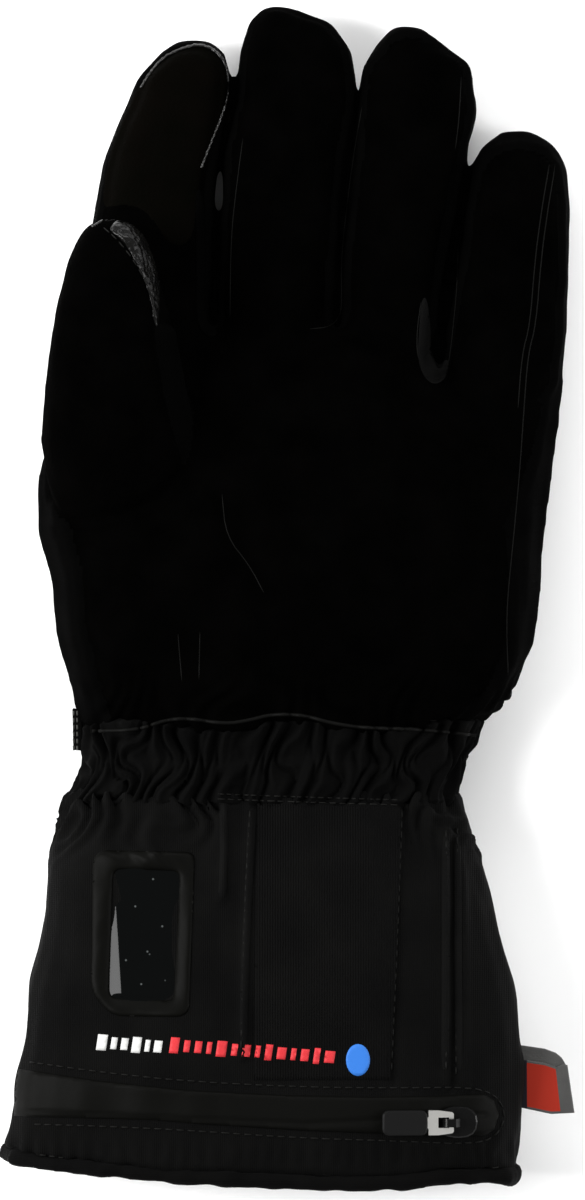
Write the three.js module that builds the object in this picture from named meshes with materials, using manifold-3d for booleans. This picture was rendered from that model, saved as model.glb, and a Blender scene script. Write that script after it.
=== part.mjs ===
// Heated glove for the left hand, lying on its back with the palm up.
// Lengths are millimetres. X runs across the hand, Y from the cuff's hem to the fingertips,
// and Z from the back of the hand, which rests flat, up out of the palm.
import * as THREE from 'three';
import { mergeVertices } from 'three/addons/utils/BufferGeometryUtils.js';
import Module from 'manifold-3d';

const wasm = await Module();
wasm.setup();

// Walls and clearances
const clearance = 0.3;
const handWall = 3.2;
const gatherWall = 2;
const cuffWall = 3;
const patchThickness = 1;
const restFlat = 1.2;

// Cuff
const cuffLength = 105;
const cuffMouthWidth = 138;
const cuffDepth = 47;
const hemBindingWidth = 3.4;
const hemBindingProud = 0.6;
const hemRiseLeft = 9;
const hemRiseRight = 2.5;
const hemRisePower = 2.3;
const hemLowestShare = 0.25;
const sidePanelHeight = 9;
const cuffPower = 3;
const foldCount = 14;
const foldSides = 3;
const foldDepth = 2;

// Gathers at the wrist
const gatherLength = 20;
const wristWidth = 103.5;
const wristDepth = 40;
const pleatCount = 26;
const pleatDepth = 2.4;
const pleatSwing = 0.35;
const pleatSides = 3;
const unevenCount = 3;
const unevenShare = 0.25;
const gatherPower = 2.6;
const edgeWave = 1.4;
const edgeWaveTurns = 2.3;
const edgeWavePhase = 0.6;

// Palm
const palmLength = 107.5;
const palmDepth = 46;
const palmShift = 14.6;
const palmPower = 2.6;
const palmSides = 24;
const littleDrop = 14.6;
const littleDropShare = 0.62;

// Fingers
const fingerGap = 0.9;
const fingerDepth = 28;
const fingerPower = 2.4;
const fingerSides = 12;
const indexWidth = 35;
const indexLength = 78.5;
const middleWidth = 32.6;
const middleLength = 86.5;
const ringWidth = 27;
const ringLength = 81;
const littleWidth = 33.8;
const littleLength = 67.5;
const seamPalmShare = 0.55;
const upperSeamShare = 0.8;
const lowerSeamShare = 0.2;

// Thumb
const thumbWidth = 43;
const thumbDepth = 29;
const thumbRise = 12;
const thumbReach = 86.5;
const thumbPower = 2.3;
const thumbSides = 14;
const thumbRootShareX = 0.07;
const thumbRootShareY = 0.45;
const thumbMiddleShare = 0.66;
const patchDrop = 4;

// Battery pocket on the cuff
const pocketWidth = 41;
const pocketAboveZip = 3.6;
const pocketThickness = 2;
const pocketBulge = 3;
const pocketRadius = 3;
const bulgeSlope = 9;
const bulgeFromShare = 0.3;
const bulgeFullShare = 0.8;
const pocketCentreX = 14;

// Controller window on the cuff
const windowWidth = 17;
const windowLength = 34;
const windowRadius = 3.5;
const windowBorder = 5.8;
const windowLap = 1.5;
const windowFrameThickness = 1.2;
const windowPaneThickness = 1;
const windowCentreX = -34;
const windowCentreY = 69.5;
const windowTilt = 2.8;

// Zip across the cuff
const zipWidth = 12;
const zipThickness = 0.8;
const zipCentreY = 20;
const zipRise = 4.5;
const zipEndInset = 6.8;
const zipLowest = 8;

// Slider and pull of the zip
const sliderLength = 9.6;
const sliderWidth = 8.4;
const sliderHeight = 2;
const sliderNarrowShare = 0.32;
const sliderShoulderShare = 0.4;
const bevel = 0.4;
const sliderFromEnd = 10.5;
const bridgeWidth = 2.2;
const bridgeBar = 1.1;
const bridgeOpening = 2.4;
const bridgeOffset = 2.2;
const crossbarRadius = 0.6;
const linkArm = 1.4;
const linkTongue = 3;
const linkPlate = 2.6;
const linkFlare = 0.5;
const tongueHalf = 1.5;
const tabLength = 12;
const tabWidth = 6.6;
const tabSkin = 0.4;
const tabRadius = 1.2;

// Small flaps
const labelLength = 15;
const labelWidth = 17.5;
const labelThickness = 1.4;
const labelCentreY = 29.5;
const labelHeight = 20;
const labelSlant = 3;
const tabFlapLength = 4;
const tabFlapWidth = 11.5;
const tabFlapHeight = 18;

// Distances along Y that the pieces share
const gatherStart = cuffLength + clearance;
const palmStart = gatherStart + gatherLength + clearance;
const crotchY = palmStart + palmLength;
const farAway = 400;
const overrun = 3;

// Finger sections, from inside the palm to the tip. along is a share of the finger's length,
// shift and wide are shares of its width, deep and lift are shares of its depth.
const indexSections = [
  { along: -0.3, shift: 0.02, wide: 0.86, deep: 0.9, lift: 0.03 },
  { along: 0, shift: 0, wide: 1, deep: 1, lift: 0 },
  { along: 0.3, shift: 0.035, wide: 0.96, deep: 1, lift: 0 },
  { along: 0.55, shift: 0.1, wide: 0.89, deep: 0.97, lift: 0.01 },
  { along: 0.74, shift: 0.215, wide: 0.8, deep: 0.93, lift: 0.03 },
  { along: 0.86, shift: 0.29, wide: 0.73, deep: 0.84, lift: 0.07 },
  { along: 0.95, shift: 0.35, wide: 0.53, deep: 0.64, lift: 0.14 },
  { along: 1, shift: 0.36, wide: 0.24, deep: 0.3, lift: 0.3 },
];
const middleSections = [
  { along: -0.28, shift: 0, wide: 0.86, deep: 0.9, lift: 0.03 },
  { along: 0, shift: 0, wide: 1, deep: 1, lift: 0 },
  { along: 0.27, shift: 0.025, wide: 1.005, deep: 1, lift: 0 },
  { along: 0.52, shift: 0.085, wide: 1.04, deep: 0.97, lift: 0.01 },
  { along: 0.72, shift: 0.16, wide: 1, deep: 0.93, lift: 0.03 },
  { along: 0.86, shift: 0.15, wide: 0.94, deep: 0.84, lift: 0.07 },
  { along: 0.95, shift: 0.13, wide: 0.7, deep: 0.64, lift: 0.14 },
  { along: 1, shift: 0.06, wide: 0.24, deep: 0.3, lift: 0.3 },
];
const ringSections = [
  { along: -0.3, shift: -0.03, wide: 0.92, deep: 0.9, lift: 0.03 },
  { along: 0, shift: 0, wide: 1, deep: 1, lift: 0 },
  { along: 0.28, shift: 0.09, wide: 1.11, deep: 1, lift: 0 },
  { along: 0.52, shift: 0.19, wide: 1.145, deep: 0.97, lift: 0.01 },
  { along: 0.74, shift: 0.265, wide: 1.13, deep: 0.93, lift: 0.03 },
  { along: 0.87, shift: 0.265, wide: 1, deep: 0.84, lift: 0.07 },
  { along: 0.95, shift: 0.245, wide: 0.68, deep: 0.62, lift: 0.14 },
  { along: 1, shift: 0.18, wide: 0.24, deep: 0.3, lift: 0.3 },
];
const littleSections = [
  { along: -0.35, shift: -0.12, wide: 0.84, deep: 0.9, lift: 0.03 },
  { along: 0, shift: -0.068, wide: 1, deep: 1, lift: 0 },
  { along: 0.25, shift: -0.01, wide: 0.965, deep: 1, lift: 0 },
  { along: 0.5, shift: 0.05, wide: 0.875, deep: 0.97, lift: 0.01 },
  { along: 0.72, shift: 0.097, wide: 0.8, deep: 0.93, lift: 0.03 },
  { along: 0.86, shift: 0.1, wide: 0.73, deep: 0.83, lift: 0.07 },
  { along: 0.95, shift: 0.1, wide: 0.53, deep: 0.62, lift: 0.14 },
  { along: 1, shift: 0.08, wide: 0.24, deep: 0.3, lift: 0.3 },
];

// Thumb sections, from inside the palm to the tip, in shares of the thumb's own sizes.
// lift is a share of the thumb's rise from the palm's middle height.
const thumbSections = [
  { along: 0, shift: 0.02, wide: 0.62, deep: 0.72, lift: -0.55 },
  { along: 0.15, shift: 0.03, wide: 0.86, deep: 0.95, lift: -0.1 },
  { along: 0.32, shift: 0.02, wide: 0.95, deep: 1.06, lift: 0.35 },
  { along: 0.49, shift: 0, wide: 0.86, deep: 1.05, lift: 0.72 },
  { along: 0.64, shift: -0.012, wide: 0.76, deep: 1, lift: 0.95 },
  { along: 0.76, shift: -0.02, wide: 0.64, deep: 0.95, lift: 1.04 },
  { along: 0.87, shift: -0.012, wide: 0.525, deep: 0.86, lift: 1.08 },
  { along: 0.95, shift: -0.005, wide: 0.39, deep: 0.68, lift: 1.1 },
  { along: 0.985, shift: -0.008, wide: 0.29, deep: 0.48, lift: 1.12 },
  { along: 1, shift: -0.01, wide: 0.17, deep: 0.26, lift: 1.12 },
];

// Palm sections, from the gathers to the finger roots. left and right are shares of the width
// across the finger roots, measured from its middle, deep is a share of the palm's depth.
const palmSections = [
  { along: 0, left: 0.515, right: 0.322, deep: 0.8 },
  { along: 0.1, left: 0.523, right: 0.39, deep: 0.9 },
  { along: 0.24, left: 0.558, right: 0.432, deep: 0.98 },
  { along: 0.37, left: 0.563, right: 0.444, deep: 1 },
  { along: 0.5, left: 0.592, right: 0.452, deep: 0.98 },
  { along: 0.63, left: 0.588, right: 0.466, deep: 0.92 },
  { along: 0.74, left: 0.563, right: 0.479, deep: 0.85 },
  { along: 0.83, left: 0.527, right: 0.489, deep: 0.79 },
  { along: 0.93, left: 0.502, right: 0.498, deep: 0.71 },
  { along: 1, left: 0.495, right: 0.49, deep: 0.5 },
];

// Gather sections, from the cuff to the palm, in shares of the wrist's sizes.
const gatherSections = [
  { along: 0, left: 0.543, right: 0.493, deep: 0.95, ripple: 0.7 },
  { along: 0.36, left: 0.512, right: 0.51, deep: 0.87, ripple: 1 },
  { along: 0.7, left: 0.506, right: 0.54, deep: 0.87, ripple: 1 },
  { along: 1, left: 0.507, right: 0.546, deep: 0.92, ripple: 0.5 },
];

// Cuff sections, from the hem to the gathers, in shares of the cuff's sizes.
const cuffSections = [
  { along: 0, left: 0.517, right: 0.483, deep: 0.96, fold: 0 },
  { along: 0.15, left: 0.506, right: 0.49, deep: 0.99, fold: 0 },
  { along: 0.27, left: 0.496, right: 0.494, deep: 1, fold: 0 },
  { along: 0.48, left: 0.476, right: 0.475, deep: 0.99, fold: 0 },
  { along: 0.68, left: 0.438, right: 0.444, deep: 0.96, fold: 0.1 },
  { along: 0.86, left: 0.43, right: 0.407, deep: 0.9, fold: 0.5 },
  { along: 1, left: 0.407, right: 0.37, deep: 0.81, fold: 1 },
];

// Seam of the cuff's side panel, from the hem to the gathers, as a share of the mouth's width.
const sideSeamSections = [
  { along: 0, across: 0.355 },
  { along: 0.8, across: 0.352 },
  { along: 1, across: 0.342 },
];

// Profile of the rolled hem binding, from its lower edge to its upper one.
const bindingSections = [
  { along: 0, proud: -0.5 },
  { along: 0.22, proud: 0.7 },
  { along: 0.5, proud: 1 },
  { along: 0.8, proud: 0.7 },
  { along: 1, proud: 0 },
];

// Geometry helpers

const leastHalfSize = 0.15;

function toSolid(geometry) {
  geometry.deleteAttribute('normal');
  geometry.deleteAttribute('uv');
  const merged = mergeVertices(geometry, 1e-5);
  const triVerts = new Uint32Array(merged.index.array);
  const vertProperties = new Float32Array(merged.attributes.position.array);
  return new wasm.Manifold(new wasm.Mesh({ numProp: 3, vertProperties, triVerts }));
}

function toGeometry(solid) {
  const { vertProperties, triVerts } = solid.getMesh();
  const geometry = new THREE.BufferGeometry();
  geometry.setAttribute('position', new THREE.BufferAttribute(new Float32Array(vertProperties), 3));
  geometry.setIndex(new THREE.BufferAttribute(new Uint32Array(triVerts), 1));
  geometry.computeVertexNormals();
  return geometry;
}

function smoothStep(value, from, to) {
  return THREE.MathUtils.smoothstep(value, from, to);
}

// Value of one column at a share of the way along a table.
function columnAt(rows, key, along) {
  const next = Math.max(1, rows.findIndex((row) => row.along >= along));
  const [low, high] = along >= rows[rows.length - 1].along ? rows.slice(-2) : [rows[next - 1], rows[next]];
  const t = THREE.MathUtils.clamp((along - low.along) / (high.along - low.along), 0, 1);
  return THREE.MathUtils.lerp(low[key], high[key], t);
}

// Points of a superellipse about the origin, evenly spaced round it and flattened at a floor.
function evenSection(halfWidth, halfDepth, power, floor, sides) {
  const dense = [];
  const denseCount = 160;
  for (let i = 0; i <= denseCount; i += 1) {
    const angle = (2 * Math.PI * i) / denseCount;
    const c = Math.cos(angle);
    const s = Math.sin(angle);
    const x = halfWidth * Math.sign(c) * Math.abs(c) ** (2 / power);
    const z = halfDepth * Math.sign(s) * Math.abs(s) ** (2 / power);
    dense.push(new THREE.Vector2(x, Math.max(z, floor)));
  }
  const lengths = [0];
  for (let i = 1; i <= denseCount; i += 1) {
    lengths.push(lengths[i - 1] + dense[i].distanceTo(dense[i - 1]));
  }
  const points = [];
  let at = 1;
  for (let i = 0; i < sides; i += 1) {
    const target = (lengths[denseCount] * i) / sides;
    while (lengths[at] < target) at += 1;
    const t = (target - lengths[at - 1]) / (lengths[at] - lengths[at - 1]);
    points.push(dense[at - 1].clone().lerp(dense[at], t));
  }
  return points;
}

// A closed solid through a row of rings of equal point count.
function ringSolid(rings) {
  const sides = rings[0].length;
  const positions = rings.flat();
  const first = positions.length;
  const last = first + 1;
  const middleOf = (ring) => ring.reduce((sum, p) => sum.add(p), new THREE.Vector3()).divideScalar(sides);
  positions.push(middleOf(rings[0]), middleOf(rings[rings.length - 1]));
  const faces = [];
  for (let r = 0; r < rings.length - 1; r += 1) {
    for (let i = 0; i < sides; i += 1) {
      const a = r * sides + i;
      const b = r * sides + ((i + 1) % sides);
      faces.push(a, a + sides, b, b, a + sides, b + sides);
    }
  }
  const end = (rings.length - 1) * sides;
  for (let i = 0; i < sides; i += 1) {
    const j = (i + 1) % sides;
    faces.push(first, i, j);
    faces.push(last, end + j, end + i);
  }
  const geometry = new THREE.BufferGeometry().setFromPoints(positions);
  geometry.setIndex(faces);
  return toSolid(geometry);
}

// A hollow-able tube along Y. Each row gives y, x and z of the centre, and the half sizes.
// inset draws the surface in, or out when negative. A closed end draws in with it, an open end
// of an inner surface runs past so that it cuts through.
function tube({ rows, sides, power, openStart, openEnd, warp, innerSides = sides }, inset) {
  const drawn = rows.map((row) => ({ ...row }));
  const start = rows[0].y;
  const end = rows[rows.length - 1].y;
  const drawStart = openStart ? Math.min(inset, 0) : inset;
  const drawEnd = openEnd ? Math.min(inset, 0) : inset;
  for (const row of drawn) {
    const t = (row.y - start) / (end - start);
    row.y = THREE.MathUtils.lerp(start + drawStart, end - drawEnd, t);
  }
  if (openStart && inset > 0) drawn.unshift({ ...drawn[0], y: start - overrun });
  if (openEnd && inset > 0) drawn.push({ ...drawn[drawn.length - 1], y: end + overrun });
  const rings = drawn.map((row) => {
    const halfWidth = Math.max(row.halfWidth - inset, leastHalfSize);
    const halfDepth = Math.max(row.halfDepth - inset, leastHalfSize);
    const floor = Math.max(inset, 0) - row.z;
    const count = inset > 0 ? innerSides : sides;
    const section = evenSection(halfWidth, halfDepth, power, floor, count);
    return section.map((p, i) => {
      const point = new THREE.Vector3(row.x + p.x, row.y, row.z + p.y);
      return warp ? warp(point, row, i / count, inset) : point;
    });
  });
  return ringSolid(rings);
}

// A solid of a plan outline between two heights.
function planPrism(points, low, high) {
  const shape = new THREE.Shape(points);
  const geometry = new THREE.ExtrudeGeometry(shape, { depth: high - low, bevelEnabled: false });
  geometry.translate(0, 0, low);
  return toSolid(geometry);
}

// A solid of a side outline, given as pairs of Y and Z, across a stretch of X.
function sidePrism(points, low, high) {
  const shape = new THREE.Shape(points);
  const geometry = new THREE.ExtrudeGeometry(shape, { depth: high - low, bevelEnabled: false });
  geometry.applyMatrix4(new THREE.Matrix4().makeBasis(
    new THREE.Vector3(0, 1, 0), new THREE.Vector3(0, 0, 1), new THREE.Vector3(1, 0, 0)));
  geometry.translate(low, 0, 0);
  return toSolid(geometry);
}

function roundedRectangle(width, height, radius, cornerSteps = 4) {
  const points = [];
  const corners = [[1, 1, 0], [-1, 1, 90], [-1, -1, 180], [1, -1, 270]];
  for (const [sx, sy, startAngle] of corners) {
    for (let i = 0; i <= cornerSteps; i += 1) {
      const angle = THREE.MathUtils.degToRad(startAngle + (90 * i) / cornerSteps);
      points.push(new THREE.Vector2(
        sx * (width / 2 - radius) + radius * Math.cos(angle),
        sy * (height / 2 - radius) + radius * Math.sin(angle)));
    }
  }
  return points;
}

function placed(points, x, y, degrees) {
  const centre = new THREE.Vector2();
  const offset = new THREE.Vector2(x, y);
  return points.map((p) => p.clone().rotateAround(centre, THREE.MathUtils.degToRad(degrees)).add(offset));
}

// Fingers side by side from the index finger to the little one

const fingerSizes = [
  { name: 'index', width: indexWidth, length: indexLength, drop: 0, sections: indexSections },
  { name: 'middle', width: middleWidth, length: middleLength, drop: 0, sections: middleSections },
  { name: 'ring', width: ringWidth, length: ringLength, drop: 0, sections: ringSections },
  { name: 'little', width: littleWidth, length: littleLength, drop: littleDrop, sections: littleSections },
];
const knuckleWidth = fingerSizes.reduce((sum, finger) => sum + finger.width, 0) + 3 * fingerGap;
const knuckleLeft = palmShift - knuckleWidth / 2;

let fingerLeft = knuckleLeft;
const fingers = fingerSizes.map((finger) => {
  const root = fingerLeft + finger.width / 2;
  fingerLeft += finger.width + fingerGap;
  const rows = finger.sections.map((s) => ({
    y: crotchY - finger.drop + s.along * finger.length,
    x: root + s.shift * finger.width,
    z: (s.deep * fingerDepth) / 2 - restFlat + s.lift * fingerDepth,
    halfWidth: (s.wide * finger.width) / 2,
    halfDepth: (s.deep * fingerDepth) / 2,
  }));
  return { ...finger, root, rows };
});
const [indexFinger, middleFinger, ringFinger, littleFinger] = fingers;

function fingerTube(finger, inset) {
  return tube({ rows: finger.rows, sides: fingerSides, innerSides: 8, power: fingerPower }, inset);
}

// The hand: palm and fingers as one body

// The wave of the palm's lower edge, which the gathers pull.
function wristWave(x) {
  return edgeWave * Math.sin(2 * Math.PI * edgeWaveTurns * (x / wristWidth) + edgeWavePhase);
}

// How far the line between the finger roots lies below its highest place.
function crotchDrop(x) {
  return littleDrop * smoothStep(x, ringFinger.root, ringFinger.root + littleDropShare * ringFinger.width);
}

function palmTube(inset) {
  const rows = palmSections.map((s) => ({
    along: s.along,
    y: palmStart + s.along * palmLength,
    x: palmShift + ((s.right - s.left) * knuckleWidth) / 2,
    z: (s.deep * palmDepth) / 2 - restFlat,
    halfWidth: ((s.left + s.right) * knuckleWidth) / 2,
    halfDepth: (s.deep * palmDepth) / 2,
  }));
  const warp = (p, row) => {
    p.y += (1 - row.along) * wristWave(p.x) - row.along * crotchDrop(p.x);
    return p;
  };
  return tube({ rows, sides: palmSides, innerSides: 14, power: palmPower, openStart: true, warp }, inset);
}

function handBody(inset) {
  return fingers.reduce((body, finger) => body.add(fingerTube(finger, inset)), palmTube(inset));
}

// The thumb, which starts inside the palm and lies above the index finger's root

const thumbRootX = knuckleLeft + thumbRootShareX * knuckleWidth;
const thumbRootY = palmStart + thumbRootShareY * palmLength;
const thumbMiddle = thumbMiddleShare * palmDepth;
const thumbRows = thumbSections.map((s) => ({
  y: thumbRootY + s.along * thumbReach,
  x: thumbRootX + s.shift * thumbWidth,
  z: thumbMiddle + s.lift * thumbRise,
  halfWidth: (s.wide * thumbWidth) / 2,
  halfDepth: (s.deep * thumbDepth) / 2,
}));

function thumbTube(inset) {
  return tube({ rows: thumbRows, sides: thumbSides, innerSides: 10, power: thumbPower }, inset);
}

const group = new THREE.Group();

function namedMesh(name, solid, material) {
  const mesh = new THREE.Mesh(toGeometry(solid), material);
  mesh.name = name;
  return mesh;
}

function addPiece(name, solid, material) {
  group.add(namedMesh(name, solid, material));
}

// Materials

function finish(color, roughness, metalness = 0) {
  return new THREE.MeshStandardMaterial({ color, roughness, metalness });
}
const suede = finish(0x141412, 0.9);
const sideCloth = finish(0x1b1b19, 0.85);
const leather = finish(0x1c1a17, 0.4);
const gatherCloth = finish(0x181816, 0.8);
const cuffCloth = finish(0x242422, 0.75);
const ribCloth = finish(0x262624, 0.8);
const coatedTape = finish(0x232321, 0.45);
const film = finish(0x0c0f10, 0.1);
const glossBlack = finish(0x101010, 0.25);
const rubber = finish(0x1e1e1d, 0.5);
const metal = finish(0xa8a6a2, 0.3, 1);
const satin = finish(0x7c6668, 0.5);

// Hand shell, cut along its seams into panels, side gussets and fourchettes

const handOuter = handBody(0);
const thumbInner = thumbTube(handWall);
const handShell = handOuter.subtract(handBody(handWall)).subtract(thumbInner);

// Height of a seam line above the floor at points along the hand.
function seamLine(share) {
  const rootHeight = share * (fingerDepth - restFlat);
  const line = palmSections.filter((s) => s.along < seamPalmShare).map((s) => new THREE.Vector2(
    palmStart + s.along * palmLength, share * (s.deep * palmDepth - restFlat)));
  line.push(new THREE.Vector2(crotchY - littleDrop, rootHeight));
  for (const s of middleSections.slice(2)) {
    const low = Math.max(0, s.lift * fingerDepth - restFlat);
    const high = (s.deep + s.lift) * fingerDepth - restFlat;
    line.push(new THREE.Vector2(crotchY + s.along * middleLength, THREE.MathUtils.lerp(low, high, share)));
  }
  line[0].x -= overrun + edgeWave;
  line[line.length - 1].x += overrun;
  return line;
}

function seamPrism(lowLine, highLine) {
  return sidePrism([...lowLine, ...highLine.reverse()], -farAway, farAway);
}

function raised(line, by) {
  return line.map((p) => new THREE.Vector2(p.x, p.y + by));
}

function level(line, height) {
  return line.map((p) => new THREE.Vector2(p.x, height));
}

const upperSeam = seamLine(upperSeamShare);
const lowerSeam = seamLine(lowerSeamShare);
const above = seamPrism(raised(upperSeam, clearance / 2), level(upperSeam, farAway));
const below = seamPrism(level(lowerSeam, -farAway), raised(lowerSeam, -clearance / 2));
const between = seamPrism(raised(lowerSeam, clearance / 2), raised(upperSeam, -clearance / 2));
const sideBand = handShell.intersect(between);

addPiece('palm_panel', handShell.intersect(above), suede);
addPiece('back_panel', handShell.intersect(below), suede);

// Middle line of a finger in plan, moved sideways, from its root to past its tip.
function fingerAxis(finger, sideways) {
  const line = finger.rows.map((row) => new THREE.Vector2(row.x + sideways, row.y));
  const tip = line[line.length - 1];
  line.push(new THREE.Vector2(tip.x, tip.y + overrun));
  return line;
}

function betweenFingers(left, right) {
  const outline = [...fingerAxis(left, clearance / 2), ...fingerAxis(right, -clearance / 2).reverse()];
  return sideBand.intersect(planPrism(outline, -farAway, farAway));
}

function outsideFinger(finger, side) {
  const axis = fingerAxis(finger, (side * clearance) / 2);
  const far = side * farAway;
  const low = palmStart - farAway / 2;
  const outline = [
    ...axis,
    new THREE.Vector2(far, axis[axis.length - 1].y),
    new THREE.Vector2(far, low),
    new THREE.Vector2(palmShift, low),
  ];
  return sideBand.intersect(planPrism(side < 0 ? outline : outline.reverse(), -farAway, farAway));
}

addPiece('index_side_gusset', outsideFinger(indexFinger, -1), sideCloth);
addPiece('fourchette_index_middle', betweenFingers(indexFinger, middleFinger), sideCloth);
addPiece('fourchette_middle_ring', betweenFingers(middleFinger, ringFinger), sideCloth);
addPiece('fourchette_ring_little', betweenFingers(ringFinger, littleFinger), sideCloth);
addPiece('little_side_gusset', outsideFinger(littleFinger, 1), sideCloth);

// Thumb, with the strip along its inner side cut off as a piece of its own

const handClear = handBody(-clearance);
const thumbShell = thumbTube(0).subtract(thumbInner).subtract(handClear);
const gussetSeam = [
  { along: 0, shift: 0.5 },
  { along: 0.27, shift: 0.434 },
  { along: 0.45, shift: 0.32 },
  { along: 0.68, shift: 0.245 },
].map((s) => new THREE.Vector2(
  thumbRootX + s.shift * thumbWidth, thumbRootY + s.along * thumbReach));
const gussetTop = gussetSeam[gussetSeam.length - 1].y;

function gussetPrism(grow) {
  const outline = [
    ...gussetSeam.map((p) => new THREE.Vector2(p.x - grow, p.y)),
    new THREE.Vector2(gussetSeam[gussetSeam.length - 1].x - grow, gussetTop + grow),
    new THREE.Vector2(farAway, gussetTop + grow),
    new THREE.Vector2(farAway, gussetSeam[0].y),
  ];
  return planPrism(outline.reverse(), -farAway, farAway);
}

addPiece('thumb', thumbShell.subtract(gussetPrism(clearance)), suede);
addPiece('thumb_gusset', thumbShell.intersect(gussetPrism(0)), sideCloth);

// Leather patches, thin layers that lie on the thumb and on the index fingertip

function strip(rows, edges) {
  const left = edges.map((e) => new THREE.Vector2(rowX(rows, e.along, e.left), rowY(rows, e.along)));
  const right = edges.map((e) => new THREE.Vector2(rowX(rows, e.along, e.right), rowY(rows, e.along)));
  return [...left.reverse(), ...right];
}

function rowY(rows, along) {
  return THREE.MathUtils.lerp(rows.rootY, rows.tipY, along);
}

function rowX(rows, along, share) {
  return columnAt(rows.table, 'x', along) + share * columnAt(rows.table, 'halfWidth', along);
}

// A table of a finger's or thumb's rows that can be read by their share of the length.
function readable(rows, sections, rootY, tipY) {
  return { table: rows.map((row, i) => ({ ...row, along: sections[i].along })), rootY, tipY };
}

const indexReadable = readable(indexFinger.rows, indexSections, crotchY, crotchY + indexLength);
const indexPatchEdges = [
  { along: 0.58, left: -0.9, right: 0.62 },
  { along: 0.72, left: -0.92, right: 0.74 },
  { along: 0.86, left: -0.9, right: 0.74 },
  { along: 0.955, left: -0.72, right: 0.62 },
];
const indexPatchPrism = planPrism(strip(indexReadable, indexPatchEdges), fingerDepth / 2, farAway);
addPiece('index_tip_patch', fingerTube(indexFinger, -clearance - patchThickness)
  .subtract(fingerTube(indexFinger, -clearance)).intersect(indexPatchPrism), leather);

const thumbReadable = readable(thumbRows, thumbSections, thumbRootY, thumbRootY + thumbReach);
const thumbPatchEdges = [
  { along: 0.69, left: 0.63, right: 1.2 },
  { along: 0.755, left: 0.68, right: 1.2 },
  { along: 0.862, left: 0.41, right: 1.3 },
  { along: 0.964, left: -0.5, right: 1.7 },
  { along: 1.03, left: -2.2, right: 4 },
];
const thumbPatchPrism = planPrism(
  strip(thumbReadable, thumbPatchEdges), thumbMiddle + thumbRise - patchDrop, farAway);
addPiece('thumb_leather_patch', thumbTube(-clearance - patchThickness)
  .subtract(thumbTube(-clearance)).intersect(thumbPatchPrism).subtract(handClear), leather);

// Gathers: pleats that swing from side to side between the cuff and the palm

function towardsMiddle(point, row, distance) {
  const nx = (point.x - row.x) / row.halfWidth ** 2;
  const nz = (point.z - row.z) / row.halfDepth ** 2;
  const length = Math.hypot(nx, nz);
  point.x -= (distance * nx) / length;
  point.z -= (distance * nz) / length;
}

const gatherRows = gatherSections.map((s, i) => ({
  along: s.along,
  ripple: s.ripple,
  swing: (i % 2) * pleatSwing,
  y: gatherStart + s.along * gatherLength,
  x: ((s.right - s.left) * wristWidth) / 2,
  z: (s.deep * wristDepth) / 2 - restFlat / 2,
  halfWidth: ((s.left + s.right) * wristWidth) / 2,
  halfDepth: (s.deep * wristDepth) / 2,
}));

function gatherTube(inset) {
  const warp = (p, row, share, drawn) => {
    if (drawn <= 0) {
      const wave = 0.5 - 0.5 * Math.cos(2 * Math.PI * (share * pleatCount + row.swing));
      const uneven = 1 - unevenShare + unevenShare * Math.sin(2 * Math.PI * unevenCount * share + 1);
      towardsMiddle(p, row, pleatDepth * row.ripple * wave * uneven);
    }
    p.y += row.along * wristWave(p.x);
    return p;
  };
  return tube({
    rows: gatherRows, sides: pleatCount * pleatSides, innerSides: 20, power: gatherPower,
    openStart: true, openEnd: true, warp,
  }, inset);
}

addPiece('wrist_gathers', gatherTube(0).subtract(gatherTube(gatherWall + pleatDepth))
  .subtract(handClear), gatherCloth);

// Cuff: a flared shell with a bulge over the battery pocket and shallow folds below the gathers

const cuffStart = hemBindingWidth + clearance;
const cuffRows = cuffSections.map((s) => ({
  along: s.along,
  fold: s.fold,
  y: THREE.MathUtils.lerp(cuffStart, cuffLength, s.along),
  x: ((s.right - s.left) * cuffMouthWidth) / 2,
  z: (s.deep * cuffDepth) / 2 - restFlat,
  halfWidth: ((s.left + s.right) * cuffMouthWidth) / 2,
  halfDepth: (s.deep * cuffDepth) / 2,
}));

function hemRise(x, row) {
  const across = THREE.MathUtils.clamp((x - row.x) / row.halfWidth, -1, 1) - hemLowestShare;
  return across < 0
    ? hemRiseLeft * (-across / (1 + hemLowestShare)) ** hemRisePower
    : hemRiseRight * (across / (1 - hemLowestShare)) ** hemRisePower;
}

// The zip's line across the cuff, which rises a little towards the left edge.
const zipAlong = (zipCentreY - cuffStart) / (cuffLength - cuffStart);
const zipEndX = columnAt(cuffRows, 'x', zipAlong) + columnAt(cuffRows, 'halfWidth', zipAlong) - zipEndInset;

function zipLine(x) {
  return zipCentreY + zipRise * ((zipEndX - x) / cuffMouthWidth) ** 2;
}

// The pocket reaches from just above the zip up to the gathers.
const pocketTop = cuffLength - clearance;
const pocketBottom = zipLine(pocketCentreX - pocketWidth / 2) + zipWidth / 2 + pocketAboveZip;
const pocketLength = pocketTop - pocketBottom;
const pocketCentreY = (pocketTop + pocketBottom) / 2;

// Height of the bulge that the battery makes, with soft edges inside the pocket's outline.
function bulgeAt(x, y) {
  const fromEdgeX = pocketWidth / 2 - Math.abs(x - pocketCentreX);
  const fromEdgeY = pocketLength / 2 - Math.abs(y - pocketCentreY);
  return pocketBulge * smoothStep(fromEdgeX, -bulgeSlope / 2, bulgeSlope)
    * smoothStep(fromEdgeY, 0, bulgeSlope);
}

function cuffWarp(p, row, share, drawn) {
  if (drawn <= 0) {
    const wave = 0.5 - 0.5 * Math.cos(2 * Math.PI * share * foldCount);
    towardsMiddle(p, row, foldDepth * row.fold * wave);
  }
  const top = smoothStep((p.z - row.z) / row.halfDepth, bulgeFromShare, bulgeFullShare);
  p.z += top * bulgeAt(p.x, p.y);
  p.y += (1 - row.along) * hemRise(p.x, row);
  return p;
}

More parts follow.
